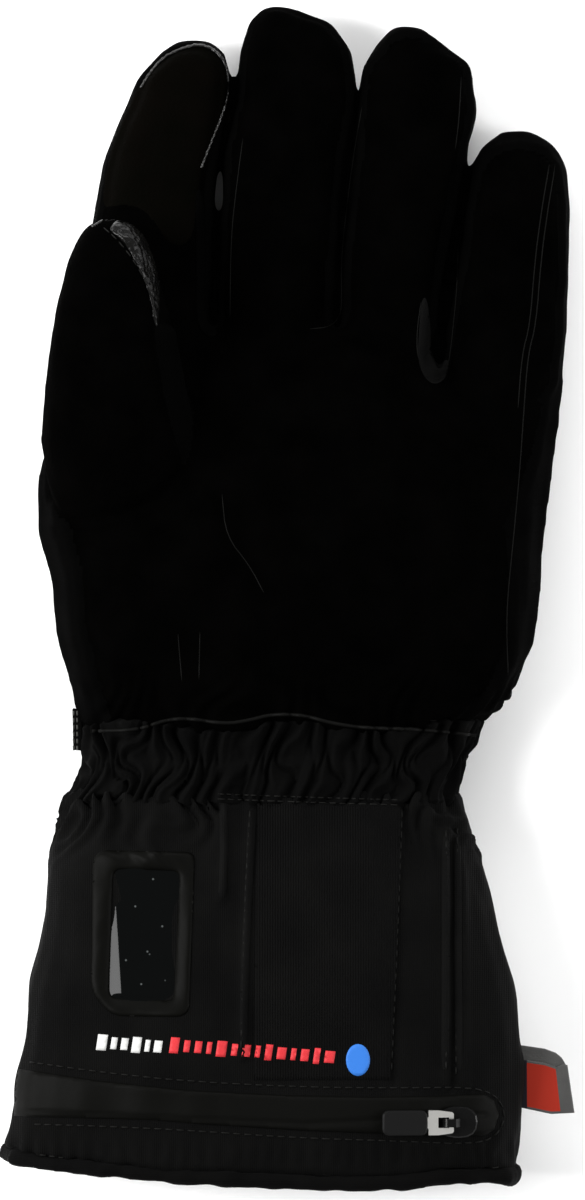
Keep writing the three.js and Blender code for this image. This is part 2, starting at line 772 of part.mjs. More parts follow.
function cuffTube(inset) {
  return tube({
    rows: cuffRows, sides: foldCount * foldSides, innerSides: 20, power: cuffPower,
    openStart: true, openEnd: true, warp: cuffWarp,
  }, inset);
}

// Height of the cuff's upper surface at a point in plan.
function cuffTop(x, y) {
  const along = (y - cuffStart) / (cuffLength - cuffStart);
  const [middleX, middleZ, halfWidth, halfDepth] = ['x', 'z', 'halfWidth', 'halfDepth']
    .map((key) => columnAt(cuffRows, key, along));
  const across = Math.min(Math.abs(x - middleX) / halfWidth, 1);
  return middleZ + halfDepth * (1 - across ** cuffPower) ** (1 / cuffPower) + bulgeAt(x, y);
}

// A layer on the cuff's upper side, between two distances off its surface, inside a plan outline.
function cuffLayer(low, high, prism) {
  return cuffTube(-high).subtract(cuffTube(-low)).intersect(prism);
}

const cuffMiddleZ = cuffDepth / 2;
const windowOutline = (width, height, radius) => planPrism(
  placed(roundedRectangle(width, height, radius), windowCentreX, windowCentreY, -windowTilt),
  cuffMiddleZ, farAway);
const paneWidth = windowWidth + 2 * windowLap;
const paneLength = windowLength + 2 * windowLap;
const paneRadius = windowRadius + windowLap;
const recess = windowOutline(paneWidth + 2 * clearance, paneLength + 2 * clearance, paneRadius + clearance)
  .subtract(cuffTube(windowPaneThickness + clearance));
const cuffShell = cuffTube(0).subtract(cuffTube(cuffWall)).subtract(recess);

function sidePanelPrism(grow) {
  const seam = sideSeamSections.map((s) => new THREE.Vector2(
    s.across * cuffMouthWidth - grow, THREE.MathUtils.lerp(-overrun, cuffLength + overrun, s.along)));
  const outline = [
    ...seam.reverse(),
    new THREE.Vector2(farAway, -overrun),
    new THREE.Vector2(farAway, cuffLength + overrun),
  ];
  return planPrism(outline, sidePanelHeight - grow, farAway);
}

addPiece('cuff_panel', cuffShell.subtract(sidePanelPrism(clearance)), cuffCloth);
addPiece('cuff_side_panel', cuffShell.intersect(sidePanelPrism(0)), cuffCloth);

const pocketPrism = planPrism(
  placed(roundedRectangle(pocketWidth, pocketLength, pocketRadius, 2), pocketCentreX, pocketCentreY, 0),
  cuffMiddleZ, farAway);
addPiece('pocket_panel', cuffLayer(clearance, clearance + pocketThickness, pocketPrism), ribCloth);

addPiece('window_pane', cuffTube(0).subtract(cuffTube(windowPaneThickness))
  .intersect(windowOutline(paneWidth, paneLength, paneRadius)), film);
const frameOuter = windowOutline(
  windowWidth + 2 * windowBorder, windowLength + 2 * windowBorder, windowRadius + windowBorder / 2);
addPiece('window_frame', cuffLayer(clearance, clearance + windowFrameThickness,
  frameOuter.subtract(windowOutline(windowWidth, windowLength, windowRadius))), coatedTape);

// Zip: a coated strip from the left edge to a round end, with its slider and pull

function zipOutline() {
  const radius = zipWidth / 2;
  const endX = zipEndX - radius;
  const stations = [-0.5 * cuffMouthWidth - overrun, -0.3 * cuffMouthWidth, 0, 0.2 * cuffMouthWidth];
  const lower = stations.map((x) => new THREE.Vector2(x, zipLine(x) - radius));
  const upper = stations.map((x) => new THREE.Vector2(x, zipLine(x) + radius)).reverse();
  const end = [-90, -45, 0, 45, 90].map((degrees) => {
    const angle = THREE.MathUtils.degToRad(degrees);
    return new THREE.Vector2(endX + radius * Math.cos(angle), zipCentreY + radius * Math.sin(angle));
  });
  return [...lower, ...end, ...upper];
}

addPiece('zip_tape', cuffLayer(clearance, clearance + zipThickness,
  planPrism(zipOutline(), zipLowest, farAway)), coatedTape);

const tapeTop = (x) => cuffTop(x, zipCentreY) + clearance + zipThickness;
const sliderCentreX = zipEndX - sliderFromEnd;
const pivotX = sliderCentreX - bridgeOffset;
const pivotAbove = sliderHeight + bridgeOpening / 2;
const pivotZ = tapeTop(pivotX) + pivotAbove;

// The slider's outline: an oval plate that narrows towards its round end.
function sliderShape() {
  const shape = new THREE.Shape();
  const narrow = sliderNarrowShare * sliderWidth;
  const shoulder = sliderShoulderShare * sliderLength;
  shape.moveTo(-sliderLength / 2, -narrow);
  shape.quadraticCurveTo(-shoulder, -sliderWidth / 2, 0, -sliderWidth / 2);
  shape.quadraticCurveTo(sliderLength / 2, -sliderWidth / 2, sliderLength / 2, 0);
  shape.quadraticCurveTo(sliderLength / 2, sliderWidth / 2, 0, sliderWidth / 2);
  shape.quadraticCurveTo(-shoulder, sliderWidth / 2, -sliderLength / 2, narrow);
  return shape;
}

const sliderBase = new THREE.ExtrudeGeometry(sliderShape(), {
  depth: sliderHeight + overrun - bevel, curveSegments: 4, bevelSize: bevel, bevelOffset: -bevel,
  bevelThickness: bevel, bevelSegments: 1,
});
sliderBase.translate(sliderCentreX, zipCentreY, pivotZ - pivotAbove - overrun);

// The bridge: an arch over the crossbar of the link, standing on the slider.
const archHalf = bridgeOpening / 2 + bridgeBar;
const archHigh = bridgeOpening / 2 + bridgeBar;
const arch = [
  new THREE.Vector2(-archHalf, -pivotAbove + bevel),
  new THREE.Vector2(-bridgeOpening / 2, -pivotAbove + bevel),
  new THREE.Vector2(-bridgeOpening / 2, bridgeOpening / 2),
  new THREE.Vector2(bridgeOpening / 2, bridgeOpening / 2),
  new THREE.Vector2(bridgeOpening / 2, -pivotAbove + bevel),
  new THREE.Vector2(archHalf, -pivotAbove + bevel),
  new THREE.Vector2(archHalf, bridgeBar / 2),
  new THREE.Vector2(bridgeOpening / 2, archHigh),
  new THREE.Vector2(-bridgeOpening / 2, archHigh),
  new THREE.Vector2(-archHalf, bridgeBar / 2),
];
const bridge = new THREE.ExtrudeGeometry(
  new THREE.Shape(arch), { depth: bridgeWidth, bevelEnabled: false });
bridge.rotateX(Math.PI / 2);
bridge.translate(pivotX, zipCentreY + bridgeWidth / 2, pivotZ);
const sliderSeat = cuffTube(-2 * clearance - zipThickness);
addPiece('zip_slider', toSolid(sliderBase).add(toSolid(bridge)).subtract(sliderSeat), glossBlack);

// The pull: a metal link through the bridge and a flat tab, which swing together about the crossbar.
const slotEnd = Math.hypot(archHalf, archHigh) + clearance;
const slotHalf = bridgeWidth / 2 + clearance;
const plateEnd = slotEnd + linkPlate;
const tongueEnd = plateEnd + linkTongue;
const linkHalf = slotHalf + linkArm;
const linkOutline = new THREE.Shape([
  new THREE.Vector2(crossbarRadius, -linkHalf + bevel),
  new THREE.Vector2(crossbarRadius, linkHalf - bevel),
  new THREE.Vector2(crossbarRadius - bevel, linkHalf),
  new THREE.Vector2(-slotEnd, linkHalf + linkFlare),
  new THREE.Vector2(-plateEnd, linkHalf + linkFlare),
  new THREE.Vector2(-plateEnd, tongueHalf),
  new THREE.Vector2(-tongueEnd, tongueHalf),
  new THREE.Vector2(-tongueEnd, -tongueHalf),
  new THREE.Vector2(-plateEnd, -tongueHalf),
  new THREE.Vector2(-plateEnd, -linkHalf - linkFlare),
  new THREE.Vector2(-slotEnd, -linkHalf - linkFlare),
  new THREE.Vector2(crossbarRadius - bevel, -linkHalf),
]);
linkOutline.holes.push(new THREE.Path([
  new THREE.Vector2(-crossbarRadius, -slotHalf),
  new THREE.Vector2(-crossbarRadius, slotHalf),
  new THREE.Vector2(-slotEnd, slotHalf),
  new THREE.Vector2(-slotEnd, -slotHalf),
]));
const linkThickness = 2 * crossbarRadius;
const linkGeometry = new THREE.ExtrudeGeometry(linkOutline, { depth: linkThickness, bevelEnabled: false });
linkGeometry.translate(0, 0, -crossbarRadius);

const tabStart = plateEnd + clearance;
const tabEnd = tabStart + tabLength;
const tabHalfThickness = crossbarRadius + clearance + tabSkin;
const tabRim = roundedRectangle(tabLength - 2 * bevel, tabWidth - 2 * bevel, tabRadius, 3);
const tabOuter = new THREE.ExtrudeGeometry(new THREE.Shape(placed(tabRim, -(tabStart + tabEnd) / 2, 0, 0)), {
  depth: 2 * (tabHalfThickness - bevel), bevelSize: bevel, bevelThickness: bevel, bevelSegments: 1,
});
tabOuter.translate(0, 0, -(tabHalfThickness - bevel));
const tabPocket = planPrism([
  new THREE.Vector2(-tongueEnd - clearance, -tongueHalf - clearance),
  new THREE.Vector2(overrun, -tongueHalf - clearance),
  new THREE.Vector2(overrun, tongueHalf + clearance),
  new THREE.Vector2(-tongueEnd - clearance, tongueHalf + clearance),
], -crossbarRadius - clearance, crossbarRadius + clearance);

// At rest the tab's far end lies just above the tape.
const tabRestZ = tapeTop(pivotX - tabEnd) + tabHalfThickness + 2 * clearance;
const pull = new THREE.Group();
pull.position.set(pivotX, zipCentreY, pivotZ);
pull.rotation.y = Math.atan2(tabRestZ - pivotZ, tabEnd);
group.add(pull);
pull.add(namedMesh('zip_pull_link', toSolid(linkGeometry), metal));
pull.add(namedMesh('zip_pull_tab', toSolid(tabOuter).subtract(tabPocket), rubber));

// Rolled binding round the cuff's mouth
const mouth = cuffRows[0];
const bindingRows = bindingSections.map((s) => ({
  ...mouth,
  y: s.along * hemBindingWidth,
  halfWidth: mouth.halfWidth + s.proud * hemBindingProud,
  halfDepth: mouth.halfDepth + s.proud * hemBindingProud,
}));

function bindingTube(inset) {
  return tube({
    rows: bindingRows, sides: 26, innerSides: 16, power: cuffPower,
    openStart: true, openEnd: true, warp: cuffWarp,
  }, inset);
}

addPiece('hem_binding', bindingTube(0).subtract(bindingTube(cuffWall)), sideCloth);

// Flat flaps that are sewn into the edge seams: the folded label and the wrist's small tab

const labelX = cuffRows[0].x + cuffRows[0].halfWidth;
const labelOutline = [
  new THREE.Vector2(labelX - labelLength, labelCentreY + labelWidth / 2),
  new THREE.Vector2(labelX - labelLength, labelCentreY - labelWidth / 2),
  new THREE.Vector2(labelX + labelLength - labelSlant, labelCentreY - labelWidth / 2),
  new THREE.Vector2(labelX + labelLength, labelCentreY + labelWidth / 2 - labelSlant),
  new THREE.Vector2(labelX + labelLength - labelSlant, labelCentreY + labelWidth / 2),
];
addPiece('side_label', planPrism(labelOutline, labelHeight, labelHeight + labelThickness)
  .subtract(cuffTube(-clearance)), satin);

const flapX = gatherRows[2].x - gatherRows[2].halfWidth;
const flapY = palmStart - clearance / 2;
const flapOutline = placed(
  roundedRectangle(2 * tabFlapLength, tabFlapWidth, labelThickness, 2), flapX, flapY, 0);
addPiece('wrist_tab', planPrism(flapOutline, tabFlapHeight, tabFlapHeight + labelThickness)
  .subtract(handClear).subtract(gatherTube(-clearance)), sideCloth);

// The whole glove stands on the middle of its box's underside

group.updateMatrixWorld(true);
const box = new THREE.Box3().setFromObject(group, true);
const middle = box.getCenter(new THREE.Vector3());
const glove = new THREE.Group();
group.position.set(-middle.x, -middle.y, -box.min.z);
glove.add(group);

export default glove;
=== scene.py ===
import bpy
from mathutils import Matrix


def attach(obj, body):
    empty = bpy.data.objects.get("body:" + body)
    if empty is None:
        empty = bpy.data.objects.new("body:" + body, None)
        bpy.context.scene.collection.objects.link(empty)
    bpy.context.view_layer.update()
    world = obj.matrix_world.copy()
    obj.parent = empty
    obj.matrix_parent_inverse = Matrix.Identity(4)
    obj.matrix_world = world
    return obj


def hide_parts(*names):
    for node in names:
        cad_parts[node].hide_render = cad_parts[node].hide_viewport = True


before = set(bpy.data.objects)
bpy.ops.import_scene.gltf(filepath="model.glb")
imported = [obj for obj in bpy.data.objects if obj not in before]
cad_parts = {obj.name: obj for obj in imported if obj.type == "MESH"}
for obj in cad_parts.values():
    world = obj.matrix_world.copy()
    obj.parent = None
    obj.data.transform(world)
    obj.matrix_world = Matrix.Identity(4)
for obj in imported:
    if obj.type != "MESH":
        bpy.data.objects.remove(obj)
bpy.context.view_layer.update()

import math

import bmesh
import bpy
import numpy as np
from mathutils import Vector
from mathutils.bvhtree import BVHTree
from mathutils.geometry import delaunay_2d_cdt

MM = 0.001

# The photograph's frame: one pixel is this many metres at the height of the glove's outline,
# and the frame's origin lies under this pixel.
PHOTO_PX = (585, 1200)
PIXEL = 0.27 * MM
ORIGIN_PX = (288.98, 598.15)
OUTLINE_HEIGHT = 22 * MM
CAMERA_DISTANCE = 1.9
SENSOR_MM = 36.0
FLOOR_SIZE = 6.0
FLOOR_CLEARANCE = 0.8 * MM
WORLD_STRENGTH = 0.42
SOFTBOXES = [
    # name, place and size in metres, power in watts
    ("left_softbox", (-1.05, 0.02, 0.75), (0.5, 1.2), 34),
    ("right_softbox", (1.1, -0.1, 0.6), (0.4, 1.4), 15),
    ("top_softbox", (0.1, 1.2, 0.9), (1.2, 0.5), 16),
]


def plan(px, py):
    """A place in plan, in metres, from a pixel of the photograph."""
    return (px - ORIGIN_PX[0]) * PIXEL, (ORIGIN_PX[1] - py) * PIXEL


def pixels(points):
    """Pixels of the photograph over points in metres, as two rows."""
    return points[:, 0] / PIXEL + ORIGIN_PX[0], ORIGIN_PX[1] - points[:, 1] / PIXEL


EYE = Vector((*plan(PHOTO_PX[0] / 2, PHOTO_PX[1] / 2), OUTLINE_HEIGHT + CAMERA_DISTANCE))


# Stage: camera, floor and light

def add_camera():
    data = bpy.data.cameras.new("camera")
    data.sensor_fit = "VERTICAL"
    data.sensor_height = SENSOR_MM
    data.lens = SENSOR_MM * CAMERA_DISTANCE / (PHOTO_PX[1] * PIXEL)
    camera = new_object("camera", data)
    camera.location = EYE
    bpy.context.scene.camera = camera


def new_object(name, data):
    thing = bpy.data.objects.new(name, data)
    bpy.context.scene.collection.objects.link(thing)
    return thing


def object_from(name, points, faces):
    mesh = bpy.data.meshes.new(name)
    mesh.from_pydata([tuple(p) for p in points], [], faces)
    mesh.update()
    return new_object(name, mesh)


def principled(name, roughness, specular, sheen=0.0, metallic=0.0, colour=(1, 1, 1)):
    material = bpy.data.materials.new(name)
    material.use_nodes = True
    tree = material.node_tree
    shader = tree.nodes["Principled BSDF"]
    for socket, value in (
            ("Base Color", (*colour, 1)), ("Roughness", roughness), ("Specular IOR Level", specular),
            ("Sheen Weight", sheen), ("Sheen Roughness", 0.5), ("Metallic", metallic)):
        shader.inputs[socket].default_value = value
    return material, tree.nodes, tree.links, shader


def add_floor():
    size = FLOOR_SIZE / 2
    corners = [(-size, -size, 0), (size, -size, 0), (size, size, 0), (-size, size, 0)]
    floor = object_from("floor", corners, [(0, 1, 2, 3)])
    floor.location.z = -FLOOR_CLEARANCE
    floor.data.materials.append(principled("pale_floor", 0.9, 0.0, colour=(0.9, 0.9, 0.9))[0])


def add_softbox(name, location, size, power):
    """An area light turned to the frame's origin."""
    data = bpy.data.lights.new(name, "AREA")
    data.shape = "RECTANGLE"
    data.size, data.size_y = size
    data.energy = power
    lamp = new_object(name, data)
    lamp.location = location
    lamp.rotation_euler = (-Vector(location)).to_track_quat("-Z", "Y").to_euler()


def add_world():
    world = bpy.data.worlds.new("studio")
    world.use_nodes = True
    background = world.node_tree.nodes["Background"]
    background.inputs["Color"].default_value = (1, 1, 1, 1)
    background.inputs["Strength"].default_value = WORLD_STRENGTH
    bpy.context.scene.world = world


bpy.context.scene.view_settings.view_transform = "Standard"
add_camera()
add_floor()
add_world()
for softbox in SOFTBOXES:
    add_softbox(*softbox)


# Mesh helpers

def pulled(items, attribute, width, kind=float):
    """An attribute of every vertex or edge, a row for each."""
    values = np.empty(len(items) * width, dtype=kind)
    items.foreach_get(attribute, values)
    return values.reshape(-1, width)


def read(piece):
    return pulled(piece.data.vertices, "co", 3)


def normals_of(piece):
    return pulled(piece.data.vertices, "normal", 3)


def write(piece, points):
    piece.data.vertices.foreach_set("co", points.ravel())
    piece.data.update()


def put(bm, mesh):
    bm.to_mesh(mesh)
    bm.free()


def object_of(name, bm):
    mesh = bpy.data.meshes.new(name)
    put(bm, mesh)
    return new_object(name, mesh)


def joined_nodes(name, nodes):
    """One mesh object holding copies of CAD nodes' meshes."""
    bm = bmesh.new()
    for node in nodes:
        bm.from_mesh(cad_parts[node].data)
    bmesh.ops.remove_doubles(bm, verts=bm.verts, dist=1e-6)
    return object_of(name, bm)


def apply_modifier(piece, kind, **settings):
    """Adds a modifier to the piece and keeps its result as the piece's mesh."""
    modifier = piece.modifiers.new(kind.lower(), kind)
    for key, value in settings.items():
        setattr(modifier, key, value)
    mesh = bpy.data.meshes.new_from_object(piece.evaluated_get(bpy.context.evaluated_depsgraph_get()))
    piece.modifiers.clear()
    piece.data = mesh
    return piece


def remeshed(piece, voxel):
    return apply_modifier(piece, "REMESH", mode="VOXEL", voxel_size=voxel)


def relaxed(points, pairs, steps, factor=0.5):
    """Points after each has moved part of the way to its neighbours' mean, several times."""
    count = len(points)
    a, b = pairs[:, 0], pairs[:, 1]
    degree = np.maximum(np.bincount(a, minlength=count) + np.bincount(b, minlength=count), 1)
    for _ in range(steps):
        mean = np.empty_like(points)
        for axis in range(3):
            total = np.bincount(a, weights=points[b, axis], minlength=count)
            total += np.bincount(b, weights=points[a, axis], minlength=count)
            mean[:, axis] = total / degree
        points = points + factor * (mean - points)
    return points


def soften(piece, steps):
    """Smooths facets away and gives back what the smoothing takes off the form."""
    pairs = pulled(piece.data.edges, "vertices", 2, np.int64)
    once = relaxed(read(piece), pairs, steps)
    twice = relaxed(once, pairs, steps)
    write(piece, once + (once - twice))


# Share of the lining's triangles that are kept, because it is seen only through the cuff's mouth
LINING_SHARE = 0.12


def split_inside(piece, is_rim, name):
    """Moves the faces that can't be reached from the outermost one, over no rim, into a coarse lining."""
    bm = bmesh.new()
    bm.from_mesh(piece.data)
    bm.faces.ensure_lookup_table()
    rim = {f.index for f in bm.faces if is_rim(f)}
    start = max(bm.faces, key=lambda f: f.calc_center_median().x)
    reached = {start.index}
    queue = [start]
    while queue:
        face = queue.pop()
        for edge in face.edges:
            for other in edge.link_faces:
                if other.index not in reached and other.index not in rim:
                    reached.add(other.index)
                    queue.append(other)
    outside = reached | rim
    lining_bm = bm.copy()
    bmesh.ops.delete(lining_bm, geom=[f for f in lining_bm.faces if f.index in outside], context="FACES")
    bmesh.ops.delete(bm, geom=[f for f in bm.faces if f.index not in outside], context="FACES")
    put(bm, piece.data)
    return apply_modifier(object_of(name, lining_bm), "DECIMATE", ratio=LINING_SHARE)


def bell(distance, width):
    return np.exp(-(distance / width) ** 2)


def ramp(value, low, high):
    t = np.clip((value - low) / (high - low), 0, 1)
    return t * t * (3 - 2 * t)


def waves(points, count, low, high, seed):
    """A smooth random field made of waves of lengths between low and high, about -1 to 1."""
    source = np.random.default_rng(seed)
    field = np.zeros(len(points))
    for _ in range(count):
        direction = source.normal(size=points.shape[1])
        direction /= np.linalg.norm(direction)
        length = source.uniform(low, high)
        field += np.sin(points @ direction * (2 * math.pi / length) + source.uniform(0, 2 * math.pi))
    return field / math.sqrt(count)


def to_path(px, py, path):
    """Distance in metres from pixels to a path through pixels, and the share of the path nearest."""
    best = np.full(len(px), 1e9)
    share = np.zeros(len(px))
    points = np.array(path, dtype=float)
    steps = np.hypot(*np.diff(points, axis=0).T)
    starts = np.concatenate([[0], np.cumsum(steps)])
    for (ax, ay), (bx, by), begin, length in zip(points[:-1], points[1:], starts, steps):
        t = np.clip(((px - ax) * (bx - ax) + (py - ay) * (by - ay)) / length ** 2, 0, 1)
        d = np.hypot(px - ax - t * (bx - ax), py - ay - t * (by - ay))
        closer = d < best
        best = np.where(closer, d, best)
        share = np.where(closer, (begin + t * length) / starts[-1], share)
    return best * PIXEL, share


def inside_loop(px, py, loop):
    result = np.zeros(len(px), dtype=bool)
    for (ax, ay), (bx, by) in zip(loop, loop[1:] + loop[:1]):
        crosses = (ay > py) != (by > py)
        with np.errstate(divide="ignore", invalid="ignore"):
            at = ax + (py - ay) * (bx - ax) / (by - ay)
        result ^= crosses & (px < at)
    return result


def nearest_nodes(points, nodes, classes, reach=12 * MM):
    """For each point the index of the nearest class of CAD nodes, and the distance to the next class."""
    distances = np.full((len(points), len(nodes)), reach)
    for column, node in enumerate(nodes):
        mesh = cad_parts[node].data
        tree = BVHTree.FromPolygons([v.co for v in mesh.vertices], [p.vertices for p in mesh.polygons])
        for row, point in enumerate(points):
            found = tree.find_nearest(point, reach)
            if found[0] is not None:
                distances[row, column] = found[3]
    of_class = np.stack([distances[:, members].min(axis=1) for members in classes], axis=1)
    return of_class.argmin(axis=1), np.sort(of_class, axis=1)[:, 1]


# The outline's fine shape

EDGE_ROWS = [
    # row, left and right edge, push of the left and of the right edge, all in pixels
    (40, 160, 461, 0, 9), (60, 155, 463, 2, 10), (80, 140, 472, 2, 6), (104, 129, 475, 3, 4), (128, 118, 473, 2, 3),
    (152, 108, 560, 2, 3), (200, 97, 568, 0, 2), (260, 69, 569, -2, 5), (320, 55, 566, -1, 4), (380, 46, 562, 0, 5),
    (410, 43, 558, -1, -3), (440, 41, 554, 0, -5), (500, 38, 548, 1, -6), (560, 48, 541, 2, -5), (620, 56, 536, 1, -1),
    (680, 68, 518, -1, 0), (710, 73, 499, 6, 4), (740, 70, 478, 5, -3), (770, 77, 465, 5, -4), (800, 63, 460, 5, -4),
    (830, 55, 471, 0, 5), (860, 48, 481, -4, 1), (890, 47, 489, -3, 1), (950, 37, 503, 0, 0), (1070, 17, 515, 2, 1),
    (1100, 15, 517, 5, 0), (1130, 9, 520, 0, 1), (1150, 6, 518, -4, -2), (1160, 5, 516, -9, -2), (1190, 5, 510, -9, -3),
]
EDGE_REACH = 55
MIDDLE_TIP = (293, 14)
MIDDLE_TIP_PUSH = -4
MIDDLE_TIP_DROP = 2.5
HEM_PUSH = [
    # column and upward push in pixels
    (5, -2), (40, 1), (65, 2), (100, 6), (150, 7.5), (240, 8.5), (300, 7.6), (345, 5.5), (400, 6), (440, 9), (490, 5),
    (512, -1),
]
HEM_ROWS = (1140, 1180)


def trimmed(points):
    """Moves the sides of a large piece by a few pixels so that its outline follows the measured rows."""
    px, py = pixels(points)
    rows, left, right, push_left, push_right = np.array(EDGE_ROWS, float).T
    shift = 0
    for edge, push in ((left, push_left), (right, push_right)):
        near = np.clip(1 - np.abs(px - np.interp(py, rows, edge)) / EDGE_REACH, 0, 1)
        shift = shift + np.interp(py, rows, push) * near
    from_tip = np.hypot(px - MIDDLE_TIP[0], (py - MIDDLE_TIP[1]) * 1.2)
    shift += MIDDLE_TIP_PUSH * bell(from_tip, 34)
    points[:, 0] += shift * PIXEL
    columns, push_up = np.array(HEM_PUSH, float).T
    points[:, 1] -= MIDDLE_TIP_DROP * bell(from_tip, 30) * PIXEL
    points[:, 1] += np.interp(px, columns, push_up) * ramp(py, *HEM_ROWS) * PIXEL
    return points


def displace(piece, lift, normals):
    """Moves a piece's surface out by the lift, trims its outline and keeps it above the floor."""
    points = trimmed(read(piece) + normals * lift[:, None])
    points[:, 2] = np.maximum(points[:, 2], 0)
    write(piece, points)


# Materials, all procedural

def texture(nodes, links, kind, scale, **settings):
    """A texture in the object's own metres."""
    place = nodes.new("ShaderNodeTexCoord")
    node = nodes.new("ShaderNodeTex" + kind)
    node.inputs["Scale"].default_value = scale
    for key, value in settings.items():
        node.inputs[key].default_value = value
    links.new(place.outputs["Object"], node.inputs["Vector"])
    return node


def tint(nodes, links, shader, factor, low, high, start=0.3, end=0.7):
    """Colours the shader from low to high by a factor."""
    colours = nodes.new("ShaderNodeValToRGB")
    for element, position, colour in zip(colours.color_ramp.elements, (start, end), (low, high)):
        element.position = position
        element.color = (*colour, 1)
    links.new(factor, colours.inputs["Fac"])
    links.new(colours.outputs["Color"], shader.inputs["Base Color"])


def relief(nodes, links, shader, heights):
    """Chains bumps, each a height output with its strength and its depth in metres, into the shader."""
    last = None
    for height, strength, depth in heights:
        bump = nodes.new("ShaderNodeBump")
        bump.inputs["Strength"].default_value = strength
        bump.inputs["Distance"].default_value = depth
        links.new(height, bump.inputs["Height"])
        if last:
            links.new(last, bump.inputs["Normal"])
        last = bump.outputs["Normal"]
    links.new(last, shader.inputs["Normal"])


def napped(name, level, roughness=0.95, specular=0.03, warm=0.85, mottled=1.0):
    """A short nap, as on suede: cloudy colour and a fine uneven grain."""
    material, nodes, links, shader = principled(name, roughness, specular)
    cloud = texture(nodes, links, "Noise", 90, Detail=4)
    grain = texture(nodes, links, "Noise", 1500, Detail=3)
    low, high = level * (1 - 0.4 * mottled), level * (1 + 0.6 * mottled)
    tint(nodes, links, shader, cloud.outputs["Fac"], (low, low, warm * low),
         (high, (0.5 + warm / 2) * high, warm * high))
    relief(nodes, links, shader, [(grain.outputs["Fac"], 0.7, 0.35 * MM)])
    return material


def woven(name, level, pitch=0.5 * MM, roughness=0.85, specular=0.08, ribs=(1, 1), sheen=0.02, depth=0.12 * MM):
    """A plain weave: two crossing sets of threads of the given pitch."""
    material, nodes, links, shader = principled(name, roughness, specular, sheen)
    cloud = texture(nodes, links, "Noise", 70, Detail=3)
    fibre = texture(nodes, links, "Noise", 2400, Detail=2)
    heights = [(fibre.outputs["Fac"], 0.4, 0.15 * MM)]
    for direction, share in zip("XY", ribs):
        threads = texture(nodes, links, "Wave", 0.5 / pitch, Distortion=1.2)
        threads.inputs["Detail Scale"].default_value = 2
        threads.bands_direction = direction
        heights.append((threads.outputs["Fac"], 0.5 * share, depth))
    tint(nodes, links, shader, cloud.outputs["Fac"], [0.75 * level] * 3, [1.3 * level, 1.28 * level, 1.2 * level])
    relief(nodes, links, shader, heights)
    return material


def grained(name, level, roughness, pebble, depth, specular):
    """Leather: rounded pebbles between fine creases."""
    material, nodes, links, shader = principled(name, roughness, specular)
    cells = texture(nodes, links, "Voronoi", pebble)
    cells.feature = "SMOOTH_F1"
    slow = texture(nodes, links, "Noise", 220, Detail=3)
    tint(nodes, links, shader, slow.outputs["Fac"], [0.6 * level] * 3, [1.5 * level, 1.4 * level, 1.2 * level])
    relief(nodes, links, shader, [(slow.outputs["Fac"], 0.5, 0.5 * MM), (cells.outputs["Distance"], 0.8, depth)])
    return material


def plain(name, colour, roughness, specular=0.5, metallic=0.0, uneven=0.0):
    """One colour, with a slightly uneven surface where that is given."""
    material, nodes, links, shader = principled(name, roughness, specular, 0.0, metallic, colour)
    if uneven:
        slow = texture(nodes, links, "Noise", 400, Detail=2)
        relief(nodes, links, shader, [(slow.outputs["Fac"], uneven, 0.3 * MM)])
    return material


def film(name):
    """Clear film over a dark pocket: glossy, with a few dust specks."""
    material, nodes, links, shader = principled(name, 0.08, 0.1)
    dust = texture(nodes, links, "Voronoi", 260)
    tint(nodes, links, shader, dust.outputs["Distance"], (0.05, 0.055, 0.055), (0.0006, 0.0008, 0.0008), 0.04, 0.09)
    ripple = texture(nodes, links, "Noise", 70, Detail=1)
    relief(nodes, links, shader, [(ripple.outputs["Fac"], 0.15, 0.6 * MM)])
    return material


suede = napped("suede", 0.0003, specular=0.004)
side_cloth = woven("side_cloth", 0.0006, specular=0.006, sheen=0)
edge_cloth = plain("edge_cloth", (0.0016, 0.0016, 0.0014), 0.6, specular=0.045)
lining_cloth = woven("lining_cloth", 0.006, specular=0.03)
leather = grained("leather", 0.0012, 0.3, pebble=800, depth=0.5 * MM, specular=0.16)
tip_leather = napped("tip_leather", 0.0007, 0.7, specular=0.006, warm=0.5, mottled=0.5)
gather_cloth = woven("gather_cloth", 0.001, specular=0.025, sheen=0.005)
cuff_cloth = woven("cuff_cloth", 0.0015, pitch=0.8 * MM, ribs=(1, 0.3), specular=0.03, sheen=0.005, depth=0.2 * MM)
rib_cloth = woven("rib_cloth", 0.0016, pitch=1.1 * MM, ribs=(1.8, 0.3), specular=0.03, sheen=0.005, depth=0.3 * MM)
coated = plain("coated_tape", (0.0018, 0.0018, 0.0015), 0.55, specular=0.032, uneven=0.2)
roll_leather = grained("roll_leather", 0.003, 0.32, pebble=1200, depth=0.3 * MM, specular=0.4)
frame_tape = plain("frame_tape", (0.0016, 0.0016, 0.0013), 0.5, specular=0.028, uneven=0.15)
fold_cloth = woven("fold_cloth", 0.0022, specular=0.04, sheen=0)
welt_cloth = woven("welt_cloth", 0.0019, pitch=0.8 * MM, ribs=(1, 0.3), specular=0.04, sheen=0.005)
clear_film = film("clear_film")
gloss_black = plain("gloss_black", (0.002, 0.002, 0.002), 0.22, specular=0.12)
metal = plain("metal", (0.75, 0.74, 0.71), 0.3, metallic=1.0, uneven=0.15)
rubber = plain("rubber_tab", (0.004, 0.004, 0.004), 0.5, specular=0.07)
binding_cloth = woven("binding_tape", 0.0011, pitch=0.7 * MM, ribs=(0.3, 1.2), specular=0.03, sheen=0.005)
thread = plain("thread", (0.004, 0.004, 0.0036), 0.6, specular=0.06)
pale_thread = plain("pale_thread", (0.03, 0.03, 0.027), 0.6, specular=0.2)
satin = woven("satin", 0.045, pitch=0.3 * MM, roughness=0.35, specular=0.32, ribs=(0.2, 0.6))
print_pale = plain("print_pale", (0.42, 0.42, 0.41), 0.6, specular=0.2)
print_red = plain("print_red", (0.42, 0.02, 0.025), 0.6, specular=0.2)
